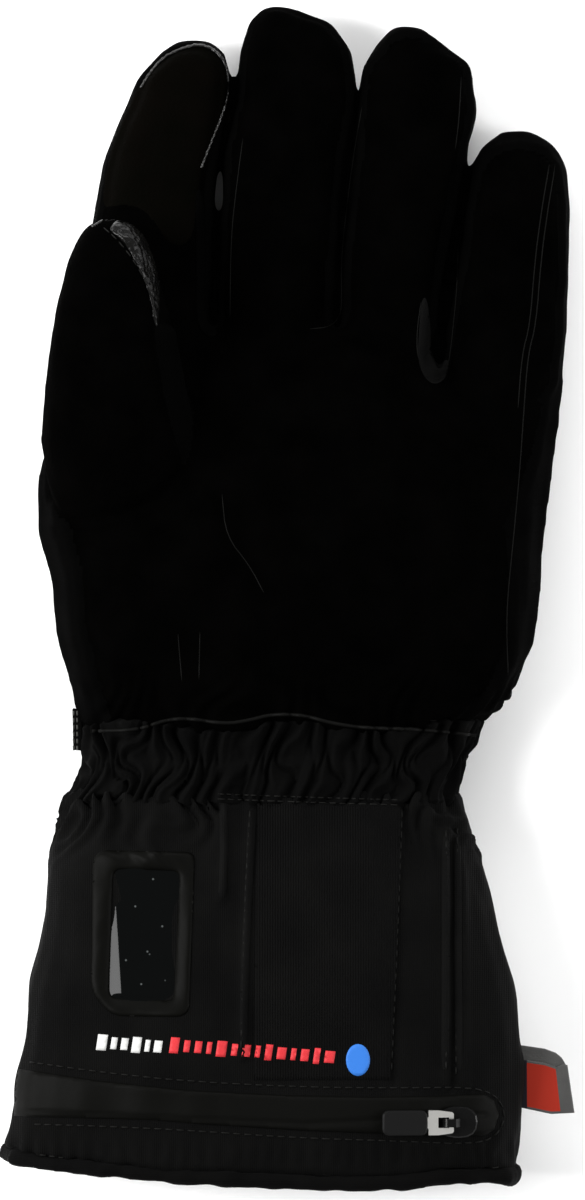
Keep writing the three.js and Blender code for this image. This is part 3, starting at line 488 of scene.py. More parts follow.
print_blue = plain("print_blue", (0.02, 0.12, 0.42), 0.6, specular=0.2)
label_red = plain("label_red", (0.25, 0.018, 0.009), 0.5, specular=0.08)
# Dark label colour: painted shade where the label's tail meets the cuff.
label_painted_shade = plain("label_painted_shade", (0.008, 0.007, 0.010), 0.5, specular=0.1)


def dress(piece, material, slot, *stands_for):
    """Gives a piece of the glove its material, smooth shading and body, and hides the CAD nodes it stands for. The slot
    is not used.
    """
    if not piece.data.materials:
        piece.data.materials.append(material)
    piece.data.polygons.foreach_set("use_smooth", [True] * len(piece.data.polygons))
    piece.data.update()
    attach(piece, "glove")
    if stands_for:
        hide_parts(*stands_for)
    return piece


# Laying things on the surfaces that the camera sees

class Ground:
    """The surfaces of some pieces, looked at from the camera through pixels of the photograph."""

    def __init__(self, *pieces):
        points, faces = [], []
        for piece in pieces:
            start = len(points)
            points.extend(v.co.copy() for v in piece.data.vertices)
            faces.extend([start + i for i in p.vertices] for p in piece.data.polygons)
        self.tree = BVHTree.FromPolygons(points, faces)

    def look(self, px, py, lowest=0.0):
        """The surface seen through a pixel; where that lies below the lowest height, the nearest one at it."""
        aim = Vector((*plan(px, py), OUTLINE_HEIGHT))
        towards = (aim - EYE).normalized()
        hit, _, _, _ = self.tree.ray_cast(EYE, towards)
        if hit is None or hit.z < lowest:
            height = lowest or OUTLINE_HEIGHT
            hit, _, _, _ = self.tree.find_nearest(EYE + towards * ((height - EYE.z) / towards.z))
        return hit

    def laid(self, path, lowest=0.0):
        return [self.look(px, py, lowest) for px, py in path]


def spread(path, spacing, closed=False):
    """Pixels evenly along a path through pixels, at a spacing in metres."""
    points = [np.array(p, dtype=float) for p in path]
    if closed:
        points.append(points[0])
    result = []
    for a, b in zip(points[:-1], points[1:]):
        count = max(1, round(np.hypot(*(b - a)) * PIXEL / spacing))
        result.extend(tuple(a + (b - a) * i / count) for i in range(count))
    if not closed:
        result.append(tuple(points[-1]))
    return result


def curved(path, rounds=2, closed=False):
    """A path or a loop of pixels with its corners cut. A path keeps its ends."""
    for _ in range(rounds):
        pairs = zip(path, path[1:] + path[:1]) if closed else zip(path[:-1], path[1:])
        cut = [((1 - t) * ax + t * bx, (1 - t) * ay + t * by) for (ax, ay), (bx, by) in pairs for t in (0.25, 0.75)]
        path = cut if closed else [path[0], *cut, path[-1]]
    return path


def rounded(corners, radii, steps=5):
    """A loop of pixels through corners that are rounded off."""
    loop = []
    count = len(corners)
    for i, radius in enumerate(radii):
        corner = Vector(corners[i])
        back = (Vector(corners[i - 1]) - corner).normalized()
        ahead = (Vector(corners[(i + 1) % count]) - corner).normalized()
        a, b = corner + back * radius, corner + ahead * radius
        for k in range(steps + 1):
            t = k / steps
            loop.append(tuple((1 - t) ** 2 * a + 2 * t * (1 - t) * corner + t ** 2 * b))
    return loop


def within(px, py, outline, holes):
    result = inside_loop(px, py, outline)
    for hole in holes:
        result &= ~inside_loop(px, py, hole)
    return result


def to_loops(px, py, loops):
    """Distance in metres from pixels to the nearest of some loops."""
    return np.min([to_path(px, py, loop + loop[:1])[0] for loop in loops], axis=0)


def layer(name, ground, outline, height, spacing=0.7 * MM, edge=0.8 * MM, holes=(), rise=None, sink=0.5 * MM,
          lowest=0.0):
    """A thin solid inside an outline of pixels, laid on the ground with rounded edges."""
    loops = [outline, *holes]
    points, rims = [], []
    for loop in loops:
        start = len(points)
        points.extend(spread(loop, spacing, closed=True))
        count = len(points) - start
        rims.extend((start + i, start + (i + 1) % count) for i in range(count))
    xs, ys = zip(*outline)
    pitch = spacing / PIXEL
    grid = np.array([
        (x + (0.5 * pitch if row % 2 else 0), y)
        for row, y in enumerate(np.arange(min(ys), max(ys), pitch * 0.87))
        for x in np.arange(min(xs), max(xs), pitch)])
    keep = within(*grid.T, outline, holes) & (to_loops(*grid.T, loops) > 0.4 * spacing)
    points.extend(map(tuple, grid[keep]))
    vertices, _, triangles, _, _, _ = delaunay_2d_cdt([Vector(p) for p in points], rims, [], 0, 1e-6)
    flat = np.array([tuple(p) for p in vertices])
    triangles = np.array(triangles)
    triangles = triangles[within(*flat[triangles].mean(axis=1).T, outline, holes)]
    (ax, ay), (bx, by), (cx, cy) = flat[triangles[0]]
    if (bx - ax) * (cy - ay) > (by - ay) * (cx - ax):
        triangles = triangles[:, ::-1]
    px, py = flat.T
    inset = to_loops(px, py, loops)
    tall = height * (0.3 + 0.7 * np.sqrt(1 - (1 - np.clip(inset / edge, 0, 1)) ** 2))
    if rise is not None:
        tall = tall + rise(px, py, inset)
    base = np.array([tuple(ground.look(x, y, lowest)) for x, y in flat])
    towards = np.array(EYE) - base
    towards /= np.linalg.norm(towards, axis=1)[:, None]
    solid = np.vstack([base + towards * tall[:, None], base - towards * sink])
    count = len(base)
    sides = {pair for a, b, c in triangles for pair in ((a, b), (b, c), (c, a))}
    faces = [face for a, b, c in triangles for face in ((a, b, c), (count + c, count + b, count + a))]
    faces += [(b, a, a + count, b + count) for a, b in sorted(sides) if (b, a) not in sides]
    used = sorted({i for f in faces for i in f})
    index = {old: new for new, old in enumerate(used)}
    return object_from(name, solid[used], [tuple(index[i] for i in f) for f in faces])


class Batch:
    """Many small tubes and stitches gathered into one mesh."""

    def __init__(self):
        self.points = []
        self.faces = []

    def tube(self, path, radius, sides=7):
        """A round tube along points, with a radius or a list of them, closed at both ends."""
        radii = radius if isinstance(radius, list) else [radius] * len(path)
        start = len(self.points)
        side = None
        for i, (centre, r) in enumerate(zip(path, radii)):
            ahead = (path[min(i + 1, len(path) - 1)] - path[max(i - 1, 0)]).normalized()
            across = ahead.cross(Vector((0, 0, 1)))
            if across.length < 0.1:
                across = side or Vector((1, 0, 0))
            side = across.normalized()
            up = side.cross(ahead).normalized()
            for k in range(sides):
                angle = 2 * math.pi * k / sides
                self.points.append(centre + r * (math.cos(angle) * side + math.sin(angle) * up))
        for i in range(len(path) - 1):
            for k in range(sides):
                a = start + i * sides + k
                b = start + i * sides + (k + 1) % sides
                self.faces.append((a, b, b + sides, a + sides))
        last = start + (len(path) - 1) * sides
        self.faces.append(tuple(start + k for k in reversed(range(sides))))
        self.faces.append(tuple(last + k for k in range(sides)))

    def seam(self, ground, path, radius=0.24 * MM, length=2.1 * MM, gap=0.9 * MM, lift=0.05 * MM):
        """A row of stitches along a path of pixels."""
        points = ground.laid(spread(path, 0.3 * MM))
        travelled = [0.0]
        for a, b in zip(points[:-1], points[1:]):
            travelled.append(travelled[-1] + min((b - a).length, 0.6 * MM))
        at = 0.0
        while at + length < travelled[-1]:
            ends = []
            for target in (at, at + length / 2, at + length):
                i = int(np.searchsorted(travelled, target))
                ends.append(points[min(i, len(points) - 1)])
            if (ends[2] - ends[0]).length < 1.8 * length:
                a, m, b = ends
                heights = [-0.5 * radius, 0.6 * radius + lift, 0.8 * radius + lift, 0.6 * radius + lift, -0.5 * radius]
                arch = [p + Vector((0, 0, h)) for p, h in zip((a, a.lerp(m, 0.35), m, m.lerp(b, 0.65), b), heights)]
                self.tube(arch, [0.6 * radius, radius, radius, radius, 0.6 * radius], sides=5)
            at += length + gap

    def build(self, name):
        return object_from(name, self.points, self.faces)


# Hand: one padded shell with its seams pressed in, and a lining inside

HAND_NODES = [
    "palm_panel", "back_panel", "index_side_gusset", "fourchette_index_middle", "fourchette_middle_ring",
    "fourchette_ring_little", "little_side_gusset", "thumb", "thumb_gusset",
]
# The palm, the back, everything at the sides, the thumb and its strip: seams lie between these.
HAND_CLASSES = [[0], [1], [2, 3, 4, 5, 6], [7], [8]]
SIDE_CLASSES = [2, 4]
HAND_VOXEL = 1.0 * MM
WRIST_Y = -34.2 * MM
PALM_CREASES = [
    [(238, 392), (300, 372), (370, 392), (440, 440)],
    [(200, 470), (236, 520), (262, 590)],
    [(222, 494), (226, 536), (250, 571), (264, 593)],
    [(420, 400), (470, 430), (520, 440)],
]
THUMB_ROOT = [(203, 459), (190, 490), (150, 520), (100, 535), (60, 530)]
SLIT = [(216, 158), (225.5, 158), (223, 210), (213.5, 210)]
# Lines along which neighbouring fingers touch each other.
TOUCHES = [
    [(229, 114), (225, 140), (223, 154)],
    [(217, 214), (214, 290), (213.5, 326)],
    [(360, 98), (352, 165), (345, 215), (341, 268), (338, 326)],
    [(470, 174), (459, 230), (452, 270), (446, 320), (440, 378)],
]
LITTLE_VALLEY = [(463, 176), (455, 230), (447, 290), (440, 340), (436, 368)]
TOUCH_HEIGHTS = (6 * MM, 13 * MM)
TOUCH_WIDTH = 3.4 * MM
SLIT_HEIGHTS = (-5 * MM, 60 * MM)
PAD_LIFT = 0.35 * MM
SEAM_DEPTH, SEAM_WIDTH = 0.7 * MM, 1.1 * MM
BESIDE_SEAM, SWELL_WIDTH = 2.6 * MM, 1.4 * MM
CREASE_DEPTH, CREASE_WIDTH = 1.1 * MM, 2.2 * MM
ROOT_DEPTH, ROOT_WIDTH = 0.8 * MM, 1.8 * MM
PULL_ROWS, PULL_PITCH, PULL_HEIGHT = (630, 722), 7.4 * MM, 0.75 * MM
VALLEY_DEPTH, VALLEY_WIDTH = 3.2 * MM, 3.0 * MM


def add_box(bm, corners, heights):
    """An upright box over four corners in plan."""
    low, high = ([bm.verts.new((x, y, z)) for x, y in corners] for z in heights)
    made = [bm.faces.new(low), bm.faces.new(high[::-1])]
    made += [bm.faces.new((low[i], high[i], high[(i + 1) % 4], low[(i + 1) % 4])) for i in range(4)]
    bmesh.ops.recalc_face_normals(bm, faces=made)


def box_object(name, corners, heights):
    bm = bmesh.new()
    add_box(bm, corners, heights)
    return object_of(name, bm)


def cut_slit(piece):
    """Opens the narrow gap that shows the floor between the index and middle fingers."""
    knife = box_object("slit", [plan(*p) for p in SLIT], SLIT_HEIGHTS)
    apply_modifier(piece, "BOOLEAN", operation="DIFFERENCE", object=knife, solver="EXACT")
    bpy.data.objects.remove(knife)


def add_touches(piece):
    """Joins neighbouring fingers by upright strips where they press together."""
    bm = bmesh.new()
    bm.from_mesh(piece.data)
    for line in TOUCHES:
        for start, end in zip(line[:-1], line[1:]):
            a, b = Vector(plan(*start)), Vector(plan(*end))
            ahead = (b - a).normalized()
            across = Vector((-ahead.y, ahead.x)) * TOUCH_WIDTH / 2
            ahead *= MM
            add_box(bm, [a - across - ahead, b - across + ahead, b + across + ahead, a + across - ahead], TOUCH_HEIGHTS)
    put(bm, piece.data)


def make_hand():
    piece = joined_nodes("hand_shell", HAND_NODES)
    cut_slit(piece)
    add_touches(piece)
    remeshed(piece, HAND_VOXEL)
    soften(piece, 24)
    lining = split_inside(
        piece, lambda f: f.normal.y < -0.5 and f.calc_center_median().y < WRIST_Y + 4 * MM, "hand_lining")
    points, normals = read(piece), normals_of(piece)
    owner, seam = nearest_nodes(points, HAND_NODES, HAND_CLASSES)
    px, py = pixels(points)
    upper = ramp(normals[:, 2], 0.1, 0.6)
    lift = PAD_LIFT - SEAM_DEPTH * bell(seam, SEAM_WIDTH) * (1 - 0.4 * upper)
    lift += PAD_LIFT * bell(seam - BESIDE_SEAM, SWELL_WIDTH)
    lift += 0.35 * MM * waves(points, 16, 9 * MM, 24 * MM, 3) * (0.4 + 0.6 * upper)
    lift += 0.5 * MM * waves(points, 10, 24 * MM, 60 * MM, 4)
    for crease in PALM_CREASES:
        distance, share = to_path(px, py, crease)
        fade = np.sin(math.pi * np.clip(share, 0.03, 0.97)) ** 0.5
        lift -= CREASE_DEPTH * bell(distance, CREASE_WIDTH) * upper * fade
    lift -= ROOT_DEPTH * bell(to_path(px, py, THUMB_ROOT)[0], ROOT_WIDTH) * upper
    # Short pulls that run up from the gathers into the palm and the back.
    phase = points[:, 0] / PULL_PITCH + 0.9 * waves(points, 6, 18 * MM, 40 * MM, 5)
    lift += PULL_HEIGHT * np.sin(2 * math.pi * phase) * ramp(py, *PULL_ROWS) ** 2
    lift -= VALLEY_DEPTH * bell(to_path(px, py, LITTLE_VALLEY)[0], VALLEY_WIDTH) * upper
    displace(piece, lift, normals)
    piece.data.materials.append(suede)
    piece.data.materials.append(side_cloth)
    at_side = np.isin(owner, SIDE_CLASSES).astype(np.int32)
    piece.data.polygons.foreach_set("material_index", at_side[[p.vertices[0] for p in piece.data.polygons]])
    dress(piece, suede, "suede", *HAND_NODES)
    dress(lining, lining_cloth, "side_cloth")
    return piece


# Gathers: a pleated elastic band whose ridges swing from side to side

CUFF_LENGTH = 105
HALF_LENGTH = 159.8
GATHER_START = CUFF_LENGTH + 0.3 - HALF_LENGTH
GATHER_LENGTH = 20
GATHER_ROWS = [
    # share of the length, left and right reach, height, all in millimetres
    (-0.08, 52.5, 49.0, 35.0),
    (0.0, 56.2, 51.0, 38.0),
    (0.36, 53.0, 52.8, 34.8),
    (0.7, 52.4, 55.9, 34.8),
    (1.0, 52.5, 56.5, 36.8),
    (1.08, 49.0, 53.0, 33.5),
]
GATHER_WALL = 4.4
GATHER_WIDTH = 103.5
CENTRE_X = -4.85
GATHER_COLUMNS = 620
GATHER_STEPS = 44
PERIMETER = 290.0
PLEATS = 44
PLEAT_DEPTH = 4.2
CINCH_DEPTH = 1.1


def squircle(half_width, half_depth, power, count):
    """Points evenly round a superellipse, with the outward direction at each."""
    angle = np.linspace(0, 2 * math.pi, 1441)
    c, s = np.cos(angle), np.sin(angle)
    x = half_width * np.sign(c) * np.abs(c) ** (2 / power)
    z = half_depth * np.sign(s) * np.abs(s) ** (2 / power)
    along = np.concatenate([[0], np.cumsum(np.hypot(np.diff(x), np.diff(z)))])
    at = np.linspace(0, along[-1], count, endpoint=False)
    px, pz = np.interp(at, along, x), np.interp(at, along, z)
    nx = np.sign(px) * np.abs(px / half_width) ** (power - 1) / half_width
    nz = np.sign(pz) * np.abs(pz / half_depth) ** (power - 1) / half_depth
    size = np.hypot(nx, nz)
    return px, pz, nx / size, nz / size, at


def around(at, turns, seed):
    """A smooth random curve round the wrist, about -1 to 1, with that many turns and fewer."""
    source = np.random.default_rng(seed)
    total = np.zeros_like(at)
    for k in range(2, turns):
        size, shift = source.normal(), source.uniform(0, 2 * math.pi)
        total += size * np.sin(2 * math.pi * k * at / PERIMETER + shift)
    return total / math.sqrt(turns)


def pleat_depth(at, share):
    """How far the cloth lies below the outer surface, in millimetres, at places round the wrist."""
    sway = 2.6 * around(at, 9, 61) * math.sin(math.pi * 1.25 * share)
    sway = sway + 2.2 * around(at, 16, 62) * math.sin(math.pi * 2.4 * share + 0.6)
    sway = sway + 1.2 * (1 - 2 * abs(2 * ((1.05 * share + 0.25) % 1) - 1))
    phase = (at + sway + 2.2 * around(at, 22, 63)) * PLEATS / PERIMETER
    # The upper pleats end in points between the lower ones, along a zigzag crease.
    ridges = []
    for shift in (0, 0.5):
        ridge = 1 - np.abs(2 * (phase + shift - np.floor(phase + shift)) - 1)
        ridges.append(0.35 * np.abs(np.sin(math.pi * (phase + shift))) ** 0.8 + 0.65 * ridge)
    fall = 3.2 * (share - 0.5)
    fold = np.maximum(np.maximum(ridges[0] - max(0, fall), ridges[1] - max(0, -fall)) * 1.25 - 0.25, -0.3)
    number = np.floor(phase)
    each = 0.65 + 0.35 * np.sin(number * 2.4) * np.sin(number * 0.9 + 4 * share)
    small = 0.35 * np.sin(2 * math.pi * phase * 2.3 + 5 * share) + 0.3 * around(at, 60, 64)
    cinch = CINCH_DEPTH * math.exp(-((share - 0.55) / 0.12) ** 2)
    ends = min(1.0, max(0.0, (share + 0.08) / 0.1)) * min(1.0, max(0.0, (1.08 - share) / 0.1))
    return (PLEAT_DEPTH * (1 - fold) * each + small + cinch) * (0.35 + 0.65 * ends) - 0.7


def make_gathers():
    shares = np.linspace(GATHER_ROWS[0][0], GATHER_ROWS[-1][0], GATHER_STEPS)
    table = np.array(GATHER_ROWS)
    left, right, high = (np.interp(shares, table[:, 0], table[:, k]) for k in (1, 2, 3))
    outer, inner = [], []
    for share, l, r, h in zip(shares, left, right, high):
        x, z, nx, nz, at = squircle((l + r) / 2, h / 2, 2.6, GATHER_COLUMNS)
        at = at * PERIMETER / (at[-1] + at[1])
        depth = pleat_depth(at, share)
        cx = (r - l) / 2 + CENTRE_X
        cz = h / 2 - 0.6
        y = GATHER_START + share * GATHER_LENGTH
        wave = 1.4 * np.sin(2 * math.pi * 2.3 * (x + (r - l) / 2) / GATHER_WIDTH + 0.6)
        rows = y + share * wave
        outer.append(np.stack([cx + x - nx * depth, rows, np.maximum(cz + z - nz * depth, 0)], axis=1))
        floor = np.maximum(cz + z - nz * GATHER_WALL, 2)
        inner.append(np.stack([cx + x - nx * GATHER_WALL, rows, floor], axis=1))
    points = trimmed(np.concatenate(outer + inner) * MM)
    faces = []
    n, m = GATHER_COLUMNS, GATHER_STEPS
    for half, base in enumerate((0, m * n)):
        for i in range(m - 1):
            for k in range(n):
                a, b = base + i * n + k, base + i * n + (k + 1) % n
                quad = (a, a + n, b + n, b)
                faces.append(quad if half == 0 else quad[::-1])
    for k in range(n):
        j = (k + 1) % n
        faces.append((k, j, m * n + j, m * n + k))
        top = (m - 1) * n
        faces.append((top + j, top + k, m * n + top + k, m * n + top + j))
    piece = object_from("gathered_wrist", points, faces)
    dress(piece, gather_cloth, "gather_cloth", "wrist_gathers")
    return piece


# Cuff: the flared shell with folds below the gathers and pressed seams

CUFF_NODES = ["cuff_panel", "cuff_side_panel"]
CUFF_VOXEL = 1.05 * MM
CUFF_TOP_Y = (CUFF_LENGTH - HALF_LENGTH) * MM
CUFF_TOP_ROW = 795
HEM_STITCH_ROW = 1150
# Columns and rows between which the pocket's edges and the creased sides begin
POCKET_LEFT, POCKET_RIGHT, POCKET_TOP = (214, 230), (398, 412), (792, 806)
CREASED_LEFT, CREASED_RIGHT = (140, 200), (392, 415)
FOLD_PITCH, FOLD_HEIGHT = 8.2 * MM, 1.7 * MM
PUCKER_PITCH = 4.2 * MM
CUFF_RIDGES = [
    # path in pixels, height and width in millimetres
    ([(224, 800), (225, 850), (222, 895)], 1.1, 1.1),
    ([(250, 802), (249, 860), (247, 900), (243, 1050)], 1.4, 1.1),
    ([(404, 806), (398, 930), (392, 1078)], -0.9, 0.9),
    ([(452, 822), (451, 900), (451, 1080)], -1.1, 0.9),
    ([(444, 826), (444, 900), (444, 1080)], 0.8, 1.0),
    ([(460, 822), (461, 900), (463, 1080)], 0.9, 1.3),
    ([(214, 797), (300, 799), (402, 803)], -0.6, 1.2),
    ([(214, 790), (300, 792), (402, 796)], 0.6, 1.6),
]


def make_cuff():
    piece = remeshed(joined_nodes("cuff_shell", CUFF_NODES), CUFF_VOXEL)
    soften(piece, 14)
    points, normals = read(piece), normals_of(piece)
    px, py = pixels(points)
    upper = ramp(normals[:, 2], 0.1, 0.5)
    on_pocket = ramp(px, *POCKET_LEFT) * (1 - ramp(px, *POCKET_RIGHT)) * ramp(py, *POCKET_TOP)
    free = 1 - on_pocket * upper
    # Folds that run down from the gathers and spread to both sides.
    down = py - CUFF_TOP_ROW
    phase = points[:, 0] / FOLD_PITCH + 1.1 * waves(points, 6, 16 * MM, 34 * MM, 21)
    phase += np.sign(points[:, 0] - CENTRE_X * MM) * down * 0.012
    lift = FOLD_HEIGHT * np.sin(2 * math.pi * phase) * np.clip(1 - down / 75, 0, 1) ** 1.3 * free
    right = ramp(px, *CREASED_RIGHT) * np.clip(1 - down / 130, 0, 1)
    left = (1 - ramp(px, *CREASED_LEFT)) * np.clip(1 - down / 90, 0, 1)
    lift += 1.0 * MM * waves(points, 12, 7 * MM, 15 * MM, 22) * np.maximum(right, left)
    lift += 0.45 * MM * waves(points, 14, 12 * MM, 30 * MM, 23) * free
    lift += 0.5 * MM * waves(points, 8, 30 * MM, 70 * MM, 24)
    for path, high, wide in CUFF_RIDGES:
        lift += high * MM * bell(to_path(px, py, path)[0], wide * MM) * upper
    # The cuff's hem strip puckers a little along the stitches above the binding.
    pucker = np.sin(2 * math.pi * points[:, 0] / PUCKER_PITCH + 2 * waves(points, 5, 9 * MM, 20 * MM, 25))
    lift += 0.35 * MM * pucker * bell(py - HEM_STITCH_ROW, 16)
    displace(piece, lift, normals)
    # The upper edge reaches in under the gathers.
    points = read(piece)
    points[:, 1] += 1.6 * MM * ramp(points[:, 1], CUFF_TOP_Y - 3 * MM, CUFF_TOP_Y)
    write(piece, points)
    dress(piece, cuff_cloth, "cuff_cloth", *CUFF_NODES)
    return piece


hand = make_hand()
gathers = make_gathers()
cuff = make_cuff()
ground = Ground(hand, gathers, cuff)


# Leather patches on the index fingertip and the thumb

INDEX_PATCH = curved([
    (108, 162), (114, 134), (125, 104), (146, 79), (160, 63), (178, 51), (199, 46), (215, 53), (226, 67),
    (228, 86), (226, 107), (218, 126), (209, 147), (201, 169), (199, 215), (190, 246), (168, 246), (156, 225),
    (140, 208), (118, 206), (102, 210), (102, 186),
], closed=True)
THUMB_PATCH = curved([
    (108, 230), (115, 221), (127, 215), (139, 217), (148, 227), (155, 240), (159, 263), (160, 297), (159, 327),
    (154, 327), (151, 300), (144, 280), (136, 263), (127, 247), (117, 236),
], closed=True)
# The patch on the fingertip thins out between these rows.
TIP_THINS_ROWS = (128, 200)
THUMB_MIDDLE = 41 * MM
THUMB_TOP = [(92, 227), (104, 220), (117, 215), (128, 213)]
VALLEY_FOLD = curved([
    (421, 300), (427, 296), (431, 330), (430, 350), (438, 367), (446, 358), (450, 364), (445, 380), (434, 385),
    (424, 378), (417, 358), (419, 330),
], closed=True)
FINGER_STRIP = curved([
    (195, 190), (203, 190), (206, 240), (205, 300), (209, 322), (218, 331), (214, 338), (203, 335), (196, 318),
    (196, 250),
], closed=True)
INDEX_ROLL = [
    (141, 88), (150, 73), (163, 58), (180, 49), (199, 44), (215, 50), (226, 64), (228.5, 83), (226.5, 102),
    (220, 120), (211, 142), (201, 168),
]


def wavy(height, count, low, high, seed):
    """A rise for a layer, made of waves in plan."""
    return lambda px, py, inset: height * waves(np.stack([px, py], axis=1) * PIXEL, count, low, high, seed)


def make_patches():
    tip = dress(layer(
        "index_patch", ground, INDEX_PATCH, 0.5 * MM, spacing=0.6 * MM, edge=1.1 * MM,
        rise=lambda px, py, inset: -0.35 * MM * ramp(py, *TIP_THINS_ROWS)), tip_leather, "leather", "index_tip_patch")
    thumb = dress(layer(
        "thumb_patch", ground, THUMB_PATCH, 1.0 * MM, spacing=0.5 * MM, edge=1.2 * MM, lowest=THUMB_MIDDLE,
        rise=wavy(0.3 * MM, 12, 3 * MM, 9 * MM, 31)), leather, "leather", "thumb_leather_patch")
    dress(layer("finger_strip", ground, FINGER_STRIP, 0.5 * MM, spacing=0.6 * MM, edge=1.0 * MM),
          side_cloth, "side_cloth")
    dress(layer("valley_fold", ground, VALLEY_FOLD, 0.6 * MM, spacing=0.5 * MM, edge=0.9 * MM),
          fold_cloth, "side_cloth")
    return tip, thumb


index_patch, thumb_patch = make_patches()


# Pocket, window and zip strip on the cuff

POCKET = [(257, 803), (402, 808), (398, 920), (390, 1080), (254, 1080), (255, 940)]
WINDOW_OUTER = rounded([(93, 850), (195, 852), (189, 1017), (112, 1016), (91, 992)], [16, 10, 14, 12, 14])
WINDOW_INNER = rounded([(113, 869), (180, 871), (174, 1001), (109, 997)], [9, 9, 9, 8])
WINDOW_PANE = rounded([(107, 863), (187, 865), (181, 1008), (103, 1004)], [9, 9, 9, 8])
GLARE = [(113, 898), (112, 940), (110, 998)]
GLARE_WIDTHS = (1.5, 11.5)
GLARE_FOOT = (994, 999)
# First, last and step of the places that the smooth film is fitted to
PANE_COLUMNS, PANE_ROWS = (124, 168, 4.0), (884, 990, 5.0)
MIRROR_SLOPE = 0.5
ZIP_TOP = [(14, 1068), (34, 1071), (100, 1081), (184, 1090), (280, 1095), (367, 1097), (440, 1096), (484, 1094)]
ZIP_END = [(494, 1100), (499, 1115), (494, 1130), (484, 1136)]
ZIP_BOTTOM = [(440, 1136), (421, 1135), (306, 1131), (200, 1124), (153, 1120), (80, 1118), (34, 1117), (14, 1116)]
# Where the strip's two halves meet
ZIP_MEETING = [(20, 1112), (100, 1115), (184, 1119), (306, 1124), (440, 1117), (486, 1115)]
WELTS = [
    [(223, 802), (224, 850), (222, 900)],
    [(252, 806), (250, 860), (248, 900), (245, 960), (243, 1050)],
    [(446, 832), (446, 930), (445, 1072)],
    [(457, 832), (458, 930), (459, 1072)],
]
WELT_HALF_PX = 4


def band(path, half):
    """The outline of a narrow strip along a path of pixels."""
    line = [Vector(p) for p in spread(path, 2.0 * MM)]
    left, right = [], []
    for i, point in enumerate(line):
        ahead = (line[min(i + 1, len(line) - 1)] - line[max(i - 1, 0)]).normalized()
        side = Vector((-ahead.y, ahead.x)) * half
        left.append(tuple(point + side))
        right.append(tuple(point - side))
    return left + right[::-1]


def make_welt(path):
    """A raised fold of the cuff's cloth that fades out at both ends."""
    def fade(px, py, inset):
        share = to_path(px, py, path)[1]
        return -0.5 * MM * (1 - ramp(np.minimum(share, 1 - share), 0, 0.12))

    welt = layer("welt", ground, band(path, WELT_HALF_PX), 0.55 * MM, spacing=0.5 * MM, edge=1.1 * MM, rise=fade)
    dress(welt, welt_cloth, "cuff_cloth")


def curve_terms(px, py):
    return np.stack([np.ones(len(px)), px, py, px ** 2, px * py], axis=1)


def make_pane():
    """A smooth film. It rises from its lower left edge at a slope that mirrors the left softbox."""
    def heights(px, py):
        return np.array([ground.look(x, y).z for x, y in zip(px, py)])

    x, y = (g.ravel() for g in np.meshgrid(np.arange(*PANE_COLUMNS), np.arange(*PANE_ROWS)))
    fit = np.linalg.lstsq(curve_terms(x, y), heights(x, y), rcond=None)[0]

    def bulge(px, py, inset):
        from_edge, share = to_path(px, py, GLARE)
        wide = (GLARE_WIDTHS[0] + (GLARE_WIDTHS[1] - GLARE_WIDTHS[0]) * share) * PIXEL
        edge = np.interp(py, [y for _, y in GLARE], [x for x, _ in GLARE])
        reach = np.minimum(px, edge + wide / PIXEL)
        climb = MIRROR_SLOPE * (reach - edge) * PIXEL
        rise = np.maximum(curve_terms(edge, py) @ fit + climb - curve_terms(reach, py) @ fit, 0)
        rise *= ramp(share, 0, 0.1) * (1 - ramp(py, *GLARE_FOOT))
        rise *= np.exp(-np.maximum(from_edge - wide, 0) / (7 * MM))
        return rise + curve_terms(px, py) @ fit - heights(px, py)

    pane = layer("pane", ground, WINDOW_PANE, 0.15 * MM, spacing=0.6 * MM, edge=0.1 * MM, rise=bulge)
    pane.data.set_sharp_from_angle(angle=math.radians(40))
    dress(pane, clear_film, "clear_film", "window_pane")


for path in WELTS:
    make_welt(path)
pocket = dress(layer(
    "pocket", ground, POCKET, 0.7 * MM, spacing=1.0 * MM, edge=1.6 * MM,
    rise=wavy(0.15 * MM, 8, 14 * MM, 40 * MM, 41)), rib_cloth, "rib_cloth", "pocket_panel")
window_rim = dress(layer(
    "window_rim", ground, WINDOW_OUTER, 0.65 * MM, spacing=0.6 * MM, edge=1.6 * MM,
    holes=[WINDOW_INNER]), frame_tape, "coated_tape", "window_frame")
make_pane()
on_cuff = Ground(cuff, pocket, window_rim, gathers, hand)
zip_strip = dress(layer(
    "zip_strip", on_cuff, ZIP_TOP + ZIP_END + ZIP_BOTTOM, 0.8 * MM, spacing=0.8 * MM, edge=0.7 * MM,
    rise=lambda px, py, inset: -0.5 * MM * bell(to_path(px, py, ZIP_MEETING)[0], 0.5 * MM)),
    coated, "coated_tape", "zip_tape")
with_zip = Ground(cuff, pocket, window_rim, zip_strip, gathers, hand, index_patch, thumb_patch)


# Hem binding, wrist tab, label and hard fittings

BINDING_LIFT = 0.35 * MM
HEM_CORNER = (514, 1172)
WRIST_TAB = [(72, 708), (82, 710), (83, 751), (73, 750)]
WRIST_TAB_HEIGHTS = (18.2 * MM, 20.2 * MM)
TAB_STITCH_COLUMNS, TAB_STITCH_ROWS = (73.5, 77), (711, 748, 7)


def make_binding():
    piece = remeshed(joined_nodes("binding", ["hem_binding"]), 0.8 * MM)
    soften(piece, 5)
    points = read(piece)
    px, py = pixels(points)
    lift = BINDING_LIFT + 0.3 * MM * waves(points, 14, 5 * MM, 16 * MM, 51)
    lift += 1.6 * MM * bell(np.hypot(px - HEM_CORNER[0], py - HEM_CORNER[1]), 10)
    displace(piece, lift, normals_of(piece))
    dress(piece, binding_cloth, "binding_tape", "hem_binding")


